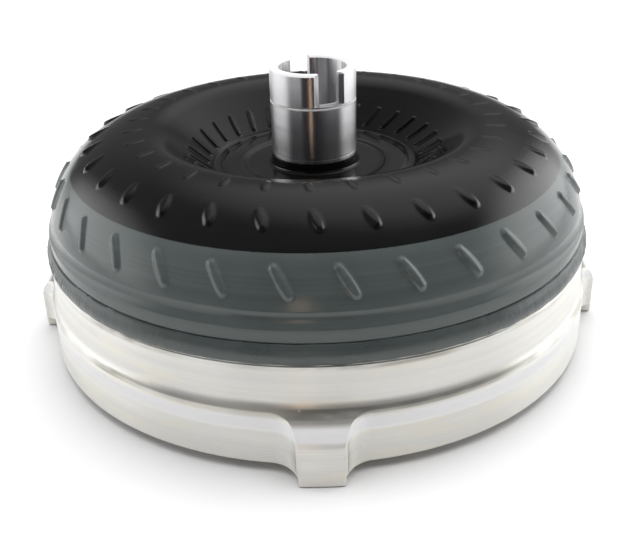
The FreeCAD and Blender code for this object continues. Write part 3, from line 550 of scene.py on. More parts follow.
def smooth_step(value):
    value = np.clip(value, 0.0, 1.0)
    return value * value * (3 - 2 * value)


def seat_relief(row, section, azimuths, after_crest):
    """Height of one row of pressed seats over the shell's outer surface."""
    radius, lengths = section[:, 0], run_lengths(section)
    crest = int(np.argmin(np.abs(radius - TORUS_RADIUS)))
    stretch_of = slice(crest, None) if after_crest else slice(None, crest + 1)
    side_radius, side_length = radius[stretch_of], lengths[stretch_of]
    order = np.argsort(side_radius)
    ends = (row["inner"], row["outer"])
    inner, outer = (float(np.interp(end, side_radius[order], side_length[order])) for end in ends)
    middle_radius = sum(ends) / 2
    pitch = 2 * math.pi / VANE_COUNT
    offset = (azimuths - math.radians(row["middle"]) + pitch / 2) % pitch - pitch / 2
    down = (lengths - (inner + outer) / 2)[:, None] * np.sign(outer - inner)
    across = offset[None, :] * radius[:, None]
    run = abs(outer - inner)
    lean = math.radians(row["lean"]) * middle_radius
    tilt = math.atan2(lean, run)
    along = down * math.cos(tilt) + across * math.sin(tilt)
    aside = across * math.cos(tilt) - down * math.sin(tilt)
    half = math.hypot(run, lean) / 2
    share = np.clip(along / half, -1, 1)
    width = row["half_width"] * (1 - row["taper"] * share ** 2)
    rise = row["rise"] * (1 - row["fade"] * (1 - share) / 2)
    distance = np.hypot(np.maximum(np.abs(along) - half, 0.0), aside)
    return rise * smooth_step((width + row["edge"] - distance) / row["edge"])


def section_normals(section):
    """Unit normals that point out of a half-section walked with the metal on its left."""
    along = np.gradient(section, axis=0)
    along /= np.linalg.norm(along, axis=1)[:, None]
    return np.stack([along[:, 1], -along[:, 0]], axis=1)


def make_shell():
    azimuths = even_columns(SHELL_COLUMNS)
    outside, inside = shell_outside(), shell_inside()
    grid = turned_rows(outside, azimuths)
    rise = np.zeros(grid.shape[:2])
    for row in SEAT_ROWS:
        rise = np.maximum(rise, seat_relief(row, outside, azimuths, row["outer"] < TORUS_RADIUS))
    grid += turned_rows(section_normals(outside), azimuths) * rise[:, :, None]
    grid = np.concatenate([grid, turned_rows(inside, azimuths)])
    shell = closed_grid("shell", grid, crease=50.0)
    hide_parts("impeller_shell")
    return shell


# ---------------------------------------------------------------- closing weld

WELD_COLUMNS = 1440
WELD_ROWS = 13
WELD_BULGE = 0.75
WELD_SINK = 0.15
RIPPLE_COUNT = 300
RIPPLE_HEIGHT = 0.16
RIPPLE_BOW = 2.2
PIT_DEPTH = 0.20
LUMP_SHARE = 0.25
WAVES_PER_TERM = 6

# The bead is rough at the sides, where the sine of the azimuth is past ROUGH_FROM, and
# nearly smooth in front and behind.
ROUGH_SHIFT = 0.07
ROUGH_FROM = 0.66
ROUGH_SOFT = 0.22
SMOOTH_SHARE = 0.12


def wander(azimuths, terms, seed):
    """Smooth periodic noise round the axis: a few seeded waves for each (low, high, size) term."""
    draw = np.random.default_rng(seed)
    total = np.zeros_like(azimuths)
    for low, high, size in terms:
        for _ in range(WAVES_PER_TERM):
            turns = draw.integers(low, high)
            wave = np.sin(turns * azimuths + draw.uniform(0, 2 * math.pi))
            total += size / WAVES_PER_TERM ** 0.5 * wave
    return total


def make_weld():
    """Painted bead with ripples that come and go, and edges that wander."""
    azimuths = even_columns(WELD_COLUMNS)
    sides = smooth_step((np.abs(np.sin(azimuths) + ROUGH_SHIFT) - ROUGH_FROM) / ROUGH_SOFT)
    uneven = smooth_step(0.7 + 0.4 * wander(azimuths, [(2, 9, 1.0)], 5))
    roughness = SMOOTH_SHARE + (1 - SMOOTH_SHARE) * sides * uneven
    lumps = wander(azimuths, [(20, 60, 0.10), (60, 160, 0.08)], 11)
    bottom = WALL_TOP + wander(azimuths, [(3, 12, 0.20), (25, 80, 0.16)], 21)
    top = WELD_TOP - 0.3 + wander(azimuths, [(3, 12, 0.15), (25, 80, 0.12)], 31)
    grid = []
    for index in range(WELD_ROWS):
        share = index / (WELD_ROWS - 1)
        bulge = math.sin(math.pi * share)
        height = bottom + (top - bottom) * share
        base = WALL_OUTER - WELD_SINK + (SKIRT_OUTER - WALL_OUTER) * share
        crown = (WELD_CROWN - WALL_OUTER + WELD_BULGE) * 4 * share * (1 - share)
        phase = azimuths * RIPPLE_COUNT + RIPPLE_BOW * math.cos(math.pi * (share - 0.5))
        ripple = RIPPLE_HEIGHT * np.sin(phase) * roughness * bulge
        pits = wander(azimuths + 0.01 * share, [(150, 420, PIT_DEPTH)], 41 + index) * roughness
        radius = base + crown * (1 + LUMP_SHARE * lumps) + ripple + pits * bulge
        grid.append(np.stack([radius * np.sin(azimuths), -radius * np.cos(azimuths), height], axis=1))
    core = walk((LIP_OUTER, WELD_TOP - 0.4), (LIP_OUTER, WALL_TOP + 0.05))
    grid = np.concatenate([np.array(grid), turned_rows(core, azimuths)])
    weld = closed_grid("weld", grid, crease=60.0)
    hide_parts("closing_weld")
    return weld


# ---------------------------------------------------------------- pump hub

def scribe_cutter():
    """Ring of triangular section that turns the scribed line into the hub."""
    section = walk(
        (HUB_OUTER - SCRIBE_DEPTH, SCRIBE_HEIGHT),
        (HUB_OUTER + SCRIBE_DEPTH, SCRIBE_HEIGHT - 2 * SCRIBE_DEPTH),
        (HUB_OUTER + SCRIBE_DEPTH, SCRIBE_HEIGHT + 2 * SCRIBE_DEPTH),
    )
    return turned_ring("scribe_cutter", section, HUB_CREASE, HUB_COLUMNS)


def prism(name, outline, low, high):
    """Solid between two levels of an outline given in plan."""
    count = len(outline)
    vertices = [(x, y, z) for z in (low, high) for x, y in outline]
    faces = [[side, (side + 1) % count, count + (side + 1) % count, count + side] for side in range(count)]
    faces += [list(range(count)), list(range(count, 2 * count))[::-1]]
    return new_piece(name, vertices, faces)


def slot_cutters():
    """Prism across the hub with the outline of its two open slots, and one for their chamfers."""
    half = SLOT_WIDTH / 2
    long = HUB_OUTER + CUTTER_MARGIN
    above = HUB_TOP + CUTTER_MARGIN
    outline = walk(
        (half, above),
        (-half, above),
        (-half, SLOT_BOTTOM + SLOT_CORNER),
        (-half + SLOT_CORNER, SLOT_BOTTOM, SLOT_CORNER, 0.2),
        (half - SLOT_CORNER, SLOT_BOTTOM),
        (half, SLOT_BOTTOM + SLOT_CORNER, SLOT_CORNER, 0.2),
    )
    slot = prism("slot_cutter", outline, -long, long)
    slot.data.transform(Matrix.Rotation(math.radians(90), 4, "X"))
    wide, deep = SLOT_CHAMFER
    corner_across = half + wide
    corner_out = math.sqrt(HUB_OUTER ** 2 - corner_across ** 2)
    slope = deep / wide
    end_across = corner_across + CHAMFER_MARGIN
    end_out = corner_out + slope * CHAMFER_MARGIN
    plan = [
        (-end_across, -end_out),
        (-half, -corner_out + deep),
        (half, -corner_out + deep),
        (end_across, -end_out),
        (end_across, -long),
        (-end_across, -long),
    ]
    cutters = [slot]
    for name, side in (("chamfer_front", 1), ("chamfer_back", -1)):
        turned = [(side * x, side * y) for x, y in plan]
        cutters.append(prism(name, turned, SLOT_BOTTOM - CHAMFER_FOOT, above))
    for cutter in cutters:
        cutter.data.transform(Matrix.Rotation(SLOT_AZIMUTH, 4, "Z"))
    return cutters


def make_hub():
    section = walk(
        (HUB_BORE, FLOOR_UNDER),
        (HUB_FLANGE - FIT_GAP, FLOOR_UNDER),
        (HUB_FLANGE - FIT_GAP, HUB_FLANGE_TOP - FACE_GAP),
        (HUB_OUTER, HUB_FLANGE_TOP - FACE_GAP),
        (HUB_OUTER, RELIEF_HEIGHT),
        (HUB_OUTER - RELIEF_DEPTH, RELIEF_HEIGHT + RELIEF_DEPTH),
        (HUB_OUTER, RELIEF_HEIGHT + RELIEF_WIDTH),
        (HUB_OUTER, HUB_TOP - HUB_CHAMFER),
        (HUB_OUTER - HUB_CHAMFER, HUB_TOP),
        (HUB_BORE + HUB_CHAMFER, HUB_TOP),
        (HUB_BORE, HUB_TOP - HUB_CHAMFER),
    )
    hub = turned_ring("hub", section, HUB_CREASE, HUB_COLUMNS)
    cut(hub, slot_cutters())
    edges = hub.modifiers.new("edges", "BEVEL")
    edges.width = HUB_EDGE * MM
    edges.segments = 2
    edges.limit_method = "ANGLE"
    edges.angle_limit = math.radians(60)
    edges.use_clamp_overlap = True
    apply_modifiers(hub)
    cut(hub, [scribe_cutter()])
    finish_mesh(hub, HUB_CREASE)
    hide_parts("impeller_hub")
    return hub


def make_neck():
    """Painted collar and weld fillet where the hub leaves the shell."""
    section = walk(
        (HUB_OUTER + NECK_GAP, FLOOR_TOP - NECK_SINK),
        (NECK_OUTER + NECK_ARC, FLOOR_TOP - NECK_SINK),
        (NECK_OUTER, FLOOR_TOP + 1.9, -NECK_ARC, 0.3),
        (NECK_OUTER, NECK_TOP - NECK_ROUND),
        (NECK_OUTER - NECK_ROUND, NECK_TOP, NECK_ROUND, 0.15),
        (HUB_OUTER + NECK_GAP, NECK_TOP),
    )
    neck = turned_ring("neck", section, crease=40.0)
    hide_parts("hub_weld")
    return neck


# ---------------------------------------------------------------- damper springs

SPRING_COUNT = 6
MERGE = 1e-6             # metres within which two points of a CAD mesh are one


def make_damper_springs():
    """The damper's coil springs one by one, each a piece of its own on the damper's body."""
    source = frame["nodes"]["damper_springs"]
    sector_edge = math.cos(math.pi / SPRING_COUNT)
    springs = []
    for index in range(SPRING_COUNT):
        middle = math.tau * (index + 0.5) / SPRING_COUNT
        outward = Vector((math.cos(middle), math.sin(middle)))
        shape = bmesh.new()
        shape.from_mesh(source.data)
        shape.transform(source.matrix_world)
        others = [point for point in shape.verts if point.co.xy.normalized().dot(outward) < sector_edge]
        bmesh.ops.delete(shape, geom=others, context="VERTS")
        bmesh.ops.remove_doubles(shape, verts=shape.verts, dist=MERGE)
        mesh = bpy.data.meshes.new(f"damper_spring_{index + 1}")
        shape.to_mesh(mesh)
        shape.free()
        spring = finish_mesh(bpy.data.objects.new(mesh.name, mesh))
        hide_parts("damper_springs")
        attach(spring, "damper")
        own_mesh(spring)
        springs.append(spring)
    return springs


# ---------------------------------------------------------------- materials

def add_node(tree, kind, inputs=None, **settings):
    """New shader node with its properties and its sockets set or linked."""
    node = tree.nodes.new(kind)
    for name, value in settings.items():
        setattr(node, name, value)
    for name, value in (inputs or {}).items():
        if isinstance(value, bpy.types.NodeSocket):
            tree.links.new(value, node.inputs[name])
        else:
            node.inputs[name].default_value = value
    return node


def calculate(tree, operation, first, second=0.0, third=0.0):
    values = {0: first, 1: second, 2: third}
    return add_node(tree, "ShaderNodeMath", values, operation=operation).outputs[0]


def ramp(tree, value, low, high, to_low=0.0, to_high=1.0, smooth=True):
    """Value carried from one range to another, clamped at its ends."""
    values = {"Value": value, "From Min": low, "From Max": high, "To Min": to_low, "To Max": to_high}
    kind = "SMOOTHSTEP" if smooth else "LINEAR"
    return add_node(tree, "ShaderNodeMapRange", values, interpolation_type=kind).outputs["Result"]


# Sockets of the Mix node that hold colours
MIX_FIRST, MIX_SECOND, MIX_RESULT = 6, 7, 2


def mix_colour(tree, share, first, second):
    node = add_node(tree, "ShaderNodeMix", {"Factor": share}, data_type="RGBA")
    for index, value in ((MIX_FIRST, first), (MIX_SECOND, second)):
        if isinstance(value, bpy.types.NodeSocket):
            tree.links.new(value, node.inputs[index])
        else:
            node.inputs[index].default_value = (*value, 1.0)
    return node.outputs[MIX_RESULT]


def scaled_colour(colour, factor):
    return tuple(min(1.0, value * factor) for value in colour)


def noise(tree, vector, scale, detail=3.0, roughness=0.5):
    values = {"Vector": vector, "Scale": scale, "Detail": detail, "Roughness": roughness}
    return add_node(tree, "ShaderNodeTexNoise", values).outputs["Fac"]


class Surface:
    """A material being built: object coordinates, cylindrical coordinates and the shader."""

    def __init__(self, name, **shader):
        self.material = bpy.data.materials.new(name)
        self.material.use_nodes = True
        self.tree = self.material.node_tree
        self.tree.nodes.clear()
        tree = self.tree
        self.place = add_node(tree, "ShaderNodeTexCoord").outputs["Object"]
        split = add_node(tree, "ShaderNodeSeparateXYZ", {"Vector": self.place})
        self.height = split.outputs["Z"]
        square = calculate(tree, "MULTIPLY", split.outputs["X"], split.outputs["X"])
        square = calculate(tree, "MULTIPLY_ADD", split.outputs["Y"], split.outputs["Y"], square)
        self.radius = calculate(tree, "SQRT", square)
        # Turning marks change along the section and hardly around it.
        drift = add_node(tree, "ShaderNodeVectorMath", {0: self.place, "Scale": 0.004}, operation="SCALE")
        section = add_node(tree, "ShaderNodeCombineXYZ", {"X": self.radius, "Y": self.height})
        rings = {0: section.outputs[0], 1: drift.outputs[0]}
        self.rings = add_node(tree, "ShaderNodeVectorMath", rings, operation="ADD").outputs[0]
        self.shader = add_node(tree, "ShaderNodeBsdfPrincipled", shader)
        output = add_node(tree, "ShaderNodeOutputMaterial")
        tree.links.new(self.shader.outputs[0], output.inputs["Surface"])

    def set(self, **links):
        for name, value in links.items():
            self.tree.links.new(value, self.shader.inputs[name.replace("_", " ")])

    def bump(self, height, distance, under=None):
        values = {"Height": height, "Distance": distance, "Strength": 1.0}
        if under is not None:
            values["Normal"] = under
        return add_node(self.tree, "ShaderNodeBump", values).outputs["Normal"]

    def patches(self):
        """Uneven share that changes over some centimetres."""
        return noise(self.tree, self.place, 16.0, 2.0, 0.5)

    def windows(self, windows):
        """Share that is 1 in any window: between two heights and outside an inner radius."""
        share = 0.0
        for low, high, soft, inner in windows:
            rising = ramp(self.tree, self.height, (low - soft) * MM, low * MM)
            falling = ramp(self.tree, self.height, high * MM, (high + soft) * MM, 1.0, 0.0)
            outside = ramp(self.tree, self.radius, (inner - FIT_GAP) * MM, inner * MM)
            level = calculate(self.tree, "MULTIPLY", rising, falling)
            share = calculate(self.tree, "MULTIPLY_ADD", level, outside, share)
        return share

    def edges(self):
        """Share of outer edges, which the metals paint lighter: painted highlight."""
        pointed = add_node(self.tree, "ShaderNodeNewGeometry").outputs["Pointiness"]
        return ramp(self.tree, pointed, 0.52, 0.62)


# Windows of the machined metals: low, high, softness, inner radius
LUG_MATT = (24.5, 28.5, 2.5, 0.0)
# Painted shade: the dark line under the weld bead, and the dark line where the shoulder meets the cove.
WALL_PAINTED_SHADE = (54.5, WALL_TOP, 2.0, 0.0)
COVE_PAINTED_SHADE = (SHOULDER_TOP - 0.5, SHOULDER_TOP + 1.5, 1.0, 0.0)
SCRIBE_MATT = (SCRIBE_HEIGHT - 2 * SCRIBE_DEPTH, SCRIBE_HEIGHT + 0.3, 0.1, HUB_OUTER - 1.0)
HUB_END_MATT = (HUB_TOP - HUB_CHAMFER, HUB_TOP + 1.0, 0.1, 0.0)

MATT_GREY = (0.86, 0.86, 0.86)
MATT_ROUGHNESS = 0.5
MATT_METALLIC = 0.1      # share of its metallic value that a matt window keeps
BORE_EDGE = 0.3


def machined_metal(name, colour, roughness, anisotropy=0.5, line_pitch=0.5, line_depth=0.004, tone=0.08,
                   matt=(), painted_shade=(), bore=0.0, metallic=1.0):
    """Turned or ground metal: ring marks, faint stains and painted highlights on the outer edges.

    The windows in matt are left rough by a coarse tool, and in the windows of painted shade the
    colour is darkened in patches drawn out along the turning.
    Inside the bore's radius the colour is darker: painted shade in the hole.  line_pitch and line_depth
    are the turning lines', and tone is how much darker the metal is between them.
    """
    surface = Surface(name, Metallic=metallic, Anisotropic=anisotropy, **{"Anisotropic Rotation": 0.25})
    tree = surface.tree
    fine = noise(tree, surface.rings, 1 / (line_pitch * MM), 2.0, 0.6)
    broad = noise(tree, surface.rings, 0.12 / (line_pitch * MM), 3.0, 0.6)
    squashed = {0: surface.place, 1: (0.3, 0.3, 2.0)}
    drawn = add_node(tree, "ShaderNodeVectorMath", squashed, operation="MULTIPLY").outputs[0]
    stain = noise(tree, drawn, 60.0, 4.0, 0.6)
    marks = calculate(tree, "MULTIPLY_ADD", broad, 0.6, calculate(tree, "MULTIPLY", fine, 0.4))
    dull = scaled_colour(colour, 1 - tone)
    tinted = mix_colour(tree, ramp(tree, marks, 0.35, 0.65), dull, colour)
    warm = (colour[0], colour[1] * 0.97, colour[2] * 0.91)
    tinted = mix_colour(tree, ramp(tree, stain, 0.5, 0.62, 0.0, 0.8), tinted, warm)
    # Painted shade: patches darkened to half the warm tone, in the windows under the weld and in the cove.
    painted_shade_share = calculate(
        tree, "MULTIPLY",
        surface.windows(painted_shade),
        calculate(tree, "MULTIPLY", ramp(tree, stain, 0.38, 0.6), ramp(tree, surface.patches(), 0.4, 0.6)),
    )
    tinted = mix_colour(tree, painted_shade_share, tinted, scaled_colour(warm, 0.5))
    # Painted shade in the bore: within its radius the colour is darkened to half.
    inside = ramp(tree, surface.radius, bore * MM, (bore + BORE_EDGE) * MM, 1.0, 0.0)
    tinted = mix_colour(tree, inside, tinted, scaled_colour(dull, 0.5))
    # Painted highlight: the outer edges are made lighter.
    tinted = mix_colour(tree, surface.edges(), tinted, scaled_colour(colour, 1.08))
    rough = ramp(tree, calculate(tree, "MULTIPLY_ADD", stain, 0.4, marks), 0.4, 1.0,
                 roughness - 0.05, roughness + 0.07, smooth=False)
    tangent = add_node(tree, "ShaderNodeTangent", direction_type="RADIAL", axis="Z").outputs[0]
    surface.set(Normal=surface.bump(fine, line_depth * MM), Tangent=tangent)
    if matt:
        coarse = surface.windows(matt)
        loss = (MATT_METALLIC - 1) * metallic
        rough = calculate(tree, "MAXIMUM", rough, calculate(tree, "MULTIPLY", coarse, MATT_ROUGHNESS))
        tinted = mix_colour(tree, coarse, tinted, MATT_GREY)
        surface.set(
            Metallic=calculate(tree, "MULTIPLY_ADD", coarse, loss, metallic),
            Anisotropic=calculate(tree, "MULTIPLY_ADD", coarse, -anisotropy, anisotropy),
        )
    surface.set(Base_Color=tinted, Roughness=rough)
    return surface.material


def sheet_metal(name, colour, roughness, grain=0.6, tone=0.14):
    """Pressed or cast metal: fine grain, blotches and painted highlights on the outer edges."""
    surface = Surface(name, Metallic=1.0)
    tree = surface.tree
    speck = noise(tree, surface.place, 1 / (grain * MM), 3.0, 0.6)
    blotch = noise(tree, surface.place, 55.0, 4.0, 0.6)
    dull = scaled_colour(colour, 1 - tone)
    tinted = mix_colour(tree, ramp(tree, blotch, 0.38, 0.68), dull, colour)
    # Painted highlight: the outer edges are made lighter.
    tinted = mix_colour(tree, surface.edges(), tinted, scaled_colour(colour, 1.25))
    rough = ramp(tree, blotch, 0.35, 0.7, roughness - 0.06, roughness + 0.08, smooth=False)
    surface.set(Base_Color=tinted, Roughness=rough, Normal=surface.bump(speck, 0.012 * MM))
    return surface.material


def dull_material(name, colour, roughness, grain, depth):
    """Fibre or polymer: no metal, a fine fibrous grain and uneven colour."""
    surface = Surface(name)
    tree = surface.tree
    fibre = noise(tree, surface.place, 1 / (grain * MM), 6.0, 0.7)
    tinted = mix_colour(tree, ramp(tree, fibre, 0.3, 0.7), scaled_colour(colour, 0.7), colour)
    rough = ramp(tree, fibre, 0.3, 0.7, roughness - 0.08, roughness + 0.08)
    surface.set(Base_Color=tinted, Roughness=rough, Normal=surface.bump(fibre, depth * MM))
    return surface.material


GREY_PAINT = (0.074, 0.090, 0.087)
BLACK_PAINT = (0.004, 0.004, 0.0038)
DRAWING_LINE_DEPTH = 0.045
ORANGE_PEEL_DEPTH = 0.006
RAGGED_EDGE = 0.35


def paint_finish(surface, colour, rough):
    """Sprayed paint: orange peel, drawing lines of the pressing below it, dust-dulled patches."""
    tree = surface.tree
    peel = noise(tree, surface.place, 700.0, 2.0, 0.5)
    lines = noise(tree, surface.rings, 420.0, 3.0, 0.6)
    dust = noise(tree, surface.place, 30.0, 4.0, 0.6)
    shade = ramp(tree, lines, 0.3, 0.7, 0.90, 1.08, smooth=False)
    shade = calculate(tree, "MULTIPLY", shade, ramp(tree, dust, 0.35, 0.7, 0.95, 1.06))
    shaded = add_node(tree, "ShaderNodeVectorMath", {0: colour, "Scale": shade}, operation="SCALE")
    spread = ramp(tree, dust, 0.35, 0.7, -0.04, 0.05)
    under = surface.bump(lines, DRAWING_LINE_DEPTH * MM)
    surface.set(
        Base_Color=shaded.outputs[0],
        Roughness=calculate(tree, "ADD", rough, spread),
        Normal=surface.bump(peel, ORANGE_PEEL_DEPTH * MM, under=under),
    )
    return surface.material


def shell_paint():
    """Grey flank and black crown, masked on a circle just outside the black seats."""
    surface = Surface("shell_paint")
    tree = surface.tree
    ragged = noise(tree, surface.place, 900.0, 2.0, 0.5)
    edge = calculate(tree, "MULTIPLY_ADD", ragged, RAGGED_EDGE * MM, surface.radius)
    grey = ramp(tree, edge, (PAINT_EDGE + 0.05) * MM, (PAINT_EDGE + RAGGED_EDGE) * MM)
    colour = mix_colour(tree, grey, BLACK_PAINT, GREY_PAINT)
    rough = ramp(tree, grey, 0.0, 1.0, 0.16, 0.20, smooth=False)
    return paint_finish(surface, colour, rough)


def plain_paint(name, colour, roughness):
    surface = Surface(name)
    tree = surface.tree
    flat = mix_colour(tree, noise(tree, surface.place, 60.0), scaled_colour(colour, 0.9), colour)
    rough = ramp(tree, noise(tree, surface.place, 90.0, 2.0), 0.3, 0.7, roughness - 0.03, roughness + 0.03)
    return paint_finish(surface, flat, rough)


def make_materials():
    """One material for each of the record's slots."""
    return {
        "machined_cover": machined_metal(
            "machined_cover", (0.78, 0.775, 0.735), 0.32,
            anisotropy=0.9, line_pitch=0.7, line_depth=0.006, tone=0.12,
            matt=(LUG_MATT,), painted_shade=(WALL_PAINTED_SHADE, COVE_PAINTED_SHADE), metallic=0.76,
        ),
        "pilot_steel": machined_metal("pilot_steel", (0.66, 0.655, 0.645), 0.24),
        "painted_weld": plain_paint("painted_weld", scaled_colour(GREY_PAINT, 0.9), 0.30),
        "shell_paint": shell_paint(),
        "black_paint": plain_paint("black_paint", BLACK_PAINT, 0.14),
        "hub_steel": machined_metal(
            "hub_steel", (0.86, 0.86, 0.87), 0.31,
            anisotropy=1.0, line_pitch=0.4, line_depth=0.0002, tone=0.03,
            matt=(SCRIBE_MATT, HUB_END_MATT), bore=HUB_BORE,
        ),
        "pressed_steel": sheet_metal("pressed_steel", (0.40, 0.395, 0.39), 0.36),
        "turned_steel": machined_metal("turned_steel", (0.52, 0.515, 0.51), 0.28),
        "cast_aluminium": sheet_metal("cast_aluminium", (0.60, 0.60, 0.59), 0.46, grain=0.9, tone=0.1),
        "bearing_steel": machined_metal(
            "bearing_steel", (0.70, 0.70, 0.70), 0.14,
            anisotropy=0.3, line_pitch=0.3, line_depth=0.001, tone=0.03,
        ),
        "cage_steel": sheet_metal("cage_steel", (0.50, 0.48, 0.43), 0.34),
        "spring_steel": sheet_metal("spring_steel", (0.26, 0.25, 0.24), 0.32),
        "thrust_bronze": sheet_metal("thrust_bronze", (0.58, 0.40, 0.20), 0.36, grain=0.4),
        "friction_paper": dull_material("friction_paper", (0.26, 0.18, 0.11), 0.85, 0.4, 0.05),
        "seal_polymer": dull_material("seal_polymer", (0.05, 0.045, 0.04), 0.5, 0.8, 0.01),
    }


def dress(piece, materials, slot):
    piece.data.materials.clear()
    piece.data.materials.append(materials[slot])


def dress_cad_nodes(materials):
    """Materials for the CAD nodes that stay, by the slots their record names."""
    for subpart in frame["record"]["subparts"]:
        node = frame["nodes"][subpart["node"]]
        if not node.hide_render:
            for index in range(len(node.material_slots)):
                node.material_slots[index].material = materials[subpart["material_slot"]]


# ---------------------------------------------------------------- stage

CAMERA_PLACE = (0.0013, -0.4734, 0.2703)
CAMERA_TARGET = (0.0013, 0.0, 0.0262)
CAMERA_ROLL = math.radians(-1.47)
CAMERA_LENS = 51.0
SENSOR_WIDTH = 36.0


def aimed(place, target):
    """Matrix of a camera or light that stands at place and looks at target."""
    place = Vector(place)
    aim = (Vector(target) - place).to_track_quat("-Z", "Y").to_matrix().to_4x4()
    return Matrix.Translation(place) @ aim


def make_camera():
    data = bpy.data.cameras.new("camera")
    data.lens = CAMERA_LENS
    data.sensor_width = SENSOR_WIDTH
    data.clip_start = 0.01
    camera = bpy.data.objects.new("camera", data)
    bpy.context.scene.collection.objects.link(camera)
    roll = Matrix.Rotation(CAMERA_ROLL, 4, "Z")
    camera.matrix_world = aimed(CAMERA_PLACE, CAMERA_TARGET) @ roll
    bpy.context.scene.camera = camera


# The studio is dark in front, past the edge of the white table.  The edge is a radius in
# metres, and the gap's angles are azimuths in degrees, from the front toward the right.
TABLE_EDGE = 0.37
TABLE_EDGE_SOFT = 0.05
GAP_RISE = (-32, -28)
GAP_FALL = (5, 52)
FLOOR_HALF = 3.0
FLOOR_LEVEL = -0.0001
FLOOR_WHITE = ((0.90, 0.90, 0.90), (0.93, 0.93, 0.93))
FLOOR_REFLECTION_DARK = (0.03, 0.03, 0.03)


def azimuth_of(tree, x, y):
    """Angle in radians from the front, which is along -Y, toward the right, along +X."""
    return calculate(tree, "ARCTAN2", x, calculate(tree, "MULTIPLY", y, -1.0))


def gap_ahead(tree, x, y):
    """Share of the directions in front where the studio is dark past the table's edge."""
    azimuth = azimuth_of(tree, x, y)
    rising = ramp(tree, azimuth, *map(math.radians, GAP_RISE))
    falling = ramp(tree, azimuth, *map(math.radians, GAP_FALL), 1.0, 0.0)
    return calculate(tree, "MULTIPLY", rising, falling)


def make_floor():
    """White floor; for reflected rays only, its colour turns dark past the table's front edge: painted
    reflection.
    """
    corners = [(-1, -1), (1, -1), (1, 1), (-1, 1)]
    mesh = bpy.data.meshes.new("floor")
    places = [(x * FLOOR_HALF, y * FLOOR_HALF, FLOOR_LEVEL) for x, y in corners]
    mesh.from_pydata(places, [], [(0, 1, 2, 3)])
    floor = bpy.data.objects.new("floor", mesh)
    bpy.context.scene.collection.objects.link(floor)
    surface = Surface("floor_white", Roughness=0.6)
    tree = surface.tree
    tint = mix_colour(tree, noise(tree, surface.place, 2.0), *FLOOR_WHITE)
    split = add_node(tree, "ShaderNodeSeparateXYZ", {"Vector": surface.place})
    past_edge = ramp(tree, surface.radius, TABLE_EDGE, TABLE_EDGE + TABLE_EDGE_SOFT)
    dark = calculate(tree, "MULTIPLY", gap_ahead(tree, split.outputs["X"], split.outputs["Y"]), past_edge)
    # Painted reflection: reflected rays see the dark colour, while the camera sees the floor white.
    mirrored = add_node(tree, "ShaderNodeLightPath").outputs["Is Glossy Ray"]
    dark = calculate(tree, "MULTIPLY", dark, mirrored)
    surface.set(Base_Color=mix_colour(tree, dark, tint, FLOOR_REFLECTION_DARK))
    mesh.materials.append(surface.material)


def lobe(tree, direction, axis, wide, tight):
    """Soft round patch of the sky: 0 outside wide degrees of an axis, 1 inside tight degrees."""
    toward = add_node(
        tree, "ShaderNodeVectorMath", {0: direction, 1: Vector(axis).normalized()}, operation="DOT_PRODUCT"
    )
    return ramp(tree, toward.outputs["Value"], math.cos(math.radians(wide)), math.cos(math.radians(tight)))


def band(tree, value, low, high, soft):
    """Soft window in degrees: 1 between low and high, falling to 0 over soft on both sides."""
    low_end, low_start, high_start, high_end = (
        math.radians(angle) for angle in (low - soft, low, high, high + soft)
    )
    rising = ramp(tree, value, low_end, low_start)
    falling = ramp(tree, value, high_start, high_end, 1.0, 0.0)
    return calculate(tree, "MULTIPLY", rising, falling)


# Soft boxes of the studio sky: direction, radius of the patch and of its flat middle in
# degrees, brightness.
SKY = (
    ((0.25, 0.50, 0.83), 42, 8, 0.60),
    ((1.0, 0.36, 0.08), 43, 14, 2.40),
    ((-1.0, 0.20, 0.04), 42, 14, 1.90),
)
SKY_BASE = 0.16
SKY_COOL = 0.008

# Bands are (low, high, softness) in degrees of azimuth or elevation.
GAP_ELEVATION = (-10, 52, 16)
GAP_DEPTH = 0.92
WARM_AZIMUTH = (-10, -4, 1)
WARM_ELEVATION = (-10, 12, 6)
WARM_STRIP = (2.3, 1.55, 1.08)


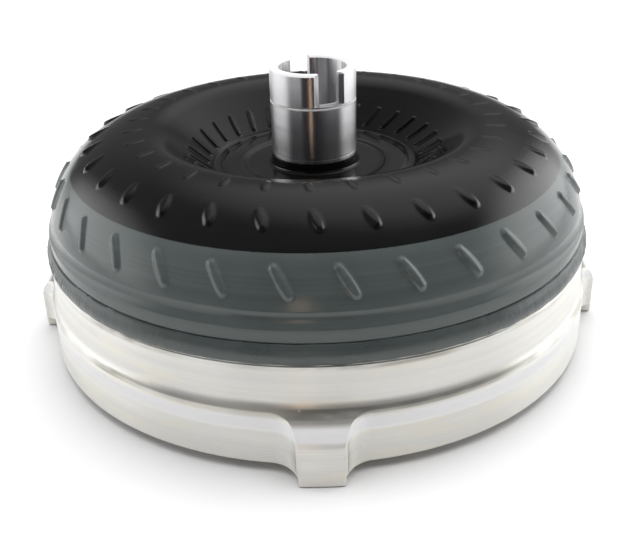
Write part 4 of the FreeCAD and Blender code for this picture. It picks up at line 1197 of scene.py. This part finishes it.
def make_world():
    """Studio sky: boxes right, left and behind overhead, dark ahead but for one warm strip."""
    world = bpy.data.worlds.new("studio")
    bpy.context.scene.world = world
    world.use_nodes = True
    tree = world.node_tree
    tree.nodes.clear()
    direction = add_node(tree, "ShaderNodeTexCoord").outputs["Generated"]
    split = add_node(tree, "ShaderNodeSeparateXYZ", {"Vector": direction})
    x, y = split.outputs["X"], split.outputs["Y"]
    azimuth = azimuth_of(tree, x, y)
    elevation = calculate(tree, "ARCSINE", split.outputs["Z"])
    light = SKY_BASE
    for axis, wide, tight, power in SKY:
        light = calculate(tree, "MULTIPLY_ADD", lobe(tree, direction, axis, wide, tight), power, light)
    gap = calculate(tree, "MULTIPLY", gap_ahead(tree, x, y), band(tree, elevation, *GAP_ELEVATION))
    light = calculate(tree, "MULTIPLY", light, calculate(tree, "MULTIPLY_ADD", gap, -GAP_DEPTH, 1.0))
    across = band(tree, azimuth, *WARM_AZIMUTH)
    warm = calculate(tree, "MULTIPLY", across, band(tree, elevation, *WARM_ELEVATION))
    cool = calculate(tree, "ADD", light, SKY_COOL)
    grey = add_node(tree, "ShaderNodeCombineXYZ", {"X": light, "Y": light, "Z": cool}).outputs[0]
    colour = mix_colour(tree, warm, grey, WARM_STRIP)
    background = add_node(tree, "ShaderNodeBackground", {"Color": colour, "Strength": 1.0})
    output = add_node(tree, "ShaderNodeOutputWorld")
    tree.links.new(background.outputs[0], output.inputs["Surface"])


PANEL_PLACE = (0.0, 0.2, 1.6)
PANEL_SIZE = 2.4
PANEL_POWER = 47.0


def make_lights():
    """Large overhead panel that whitens the floor and stays out of the reflections."""
    data = bpy.data.lights.new("overhead_panel", "AREA")
    data.shape = "SQUARE"
    data.size = PANEL_SIZE
    data.energy = PANEL_POWER
    panel = bpy.data.objects.new("overhead_panel", data)
    bpy.context.scene.collection.objects.link(panel)
    panel.matrix_world = aimed(PANEL_PLACE, (0.0, 0.0, 0.0))
    panel.visible_glossy = False


# ---------------------------------------------------------------- assembly

def main():
    materials = make_materials()
    pieces = {
        "machined_cover": make_cover(),
        "shell_paint": make_shell(),
        "painted_weld": make_weld(),
        "hub_steel": make_hub(),
        "black_paint": make_neck(),
    }
    for slot, piece in pieces.items():
        dress(piece, materials, slot)
        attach(piece, "housing")
    for spring in make_damper_springs():
        dress(spring, materials, "spring_steel")
    dress_cad_nodes(materials)
    make_floor()
    make_world()
    make_lights()
    make_camera()
    bpy.context.scene.view_settings.view_transform = "Standard"


main()
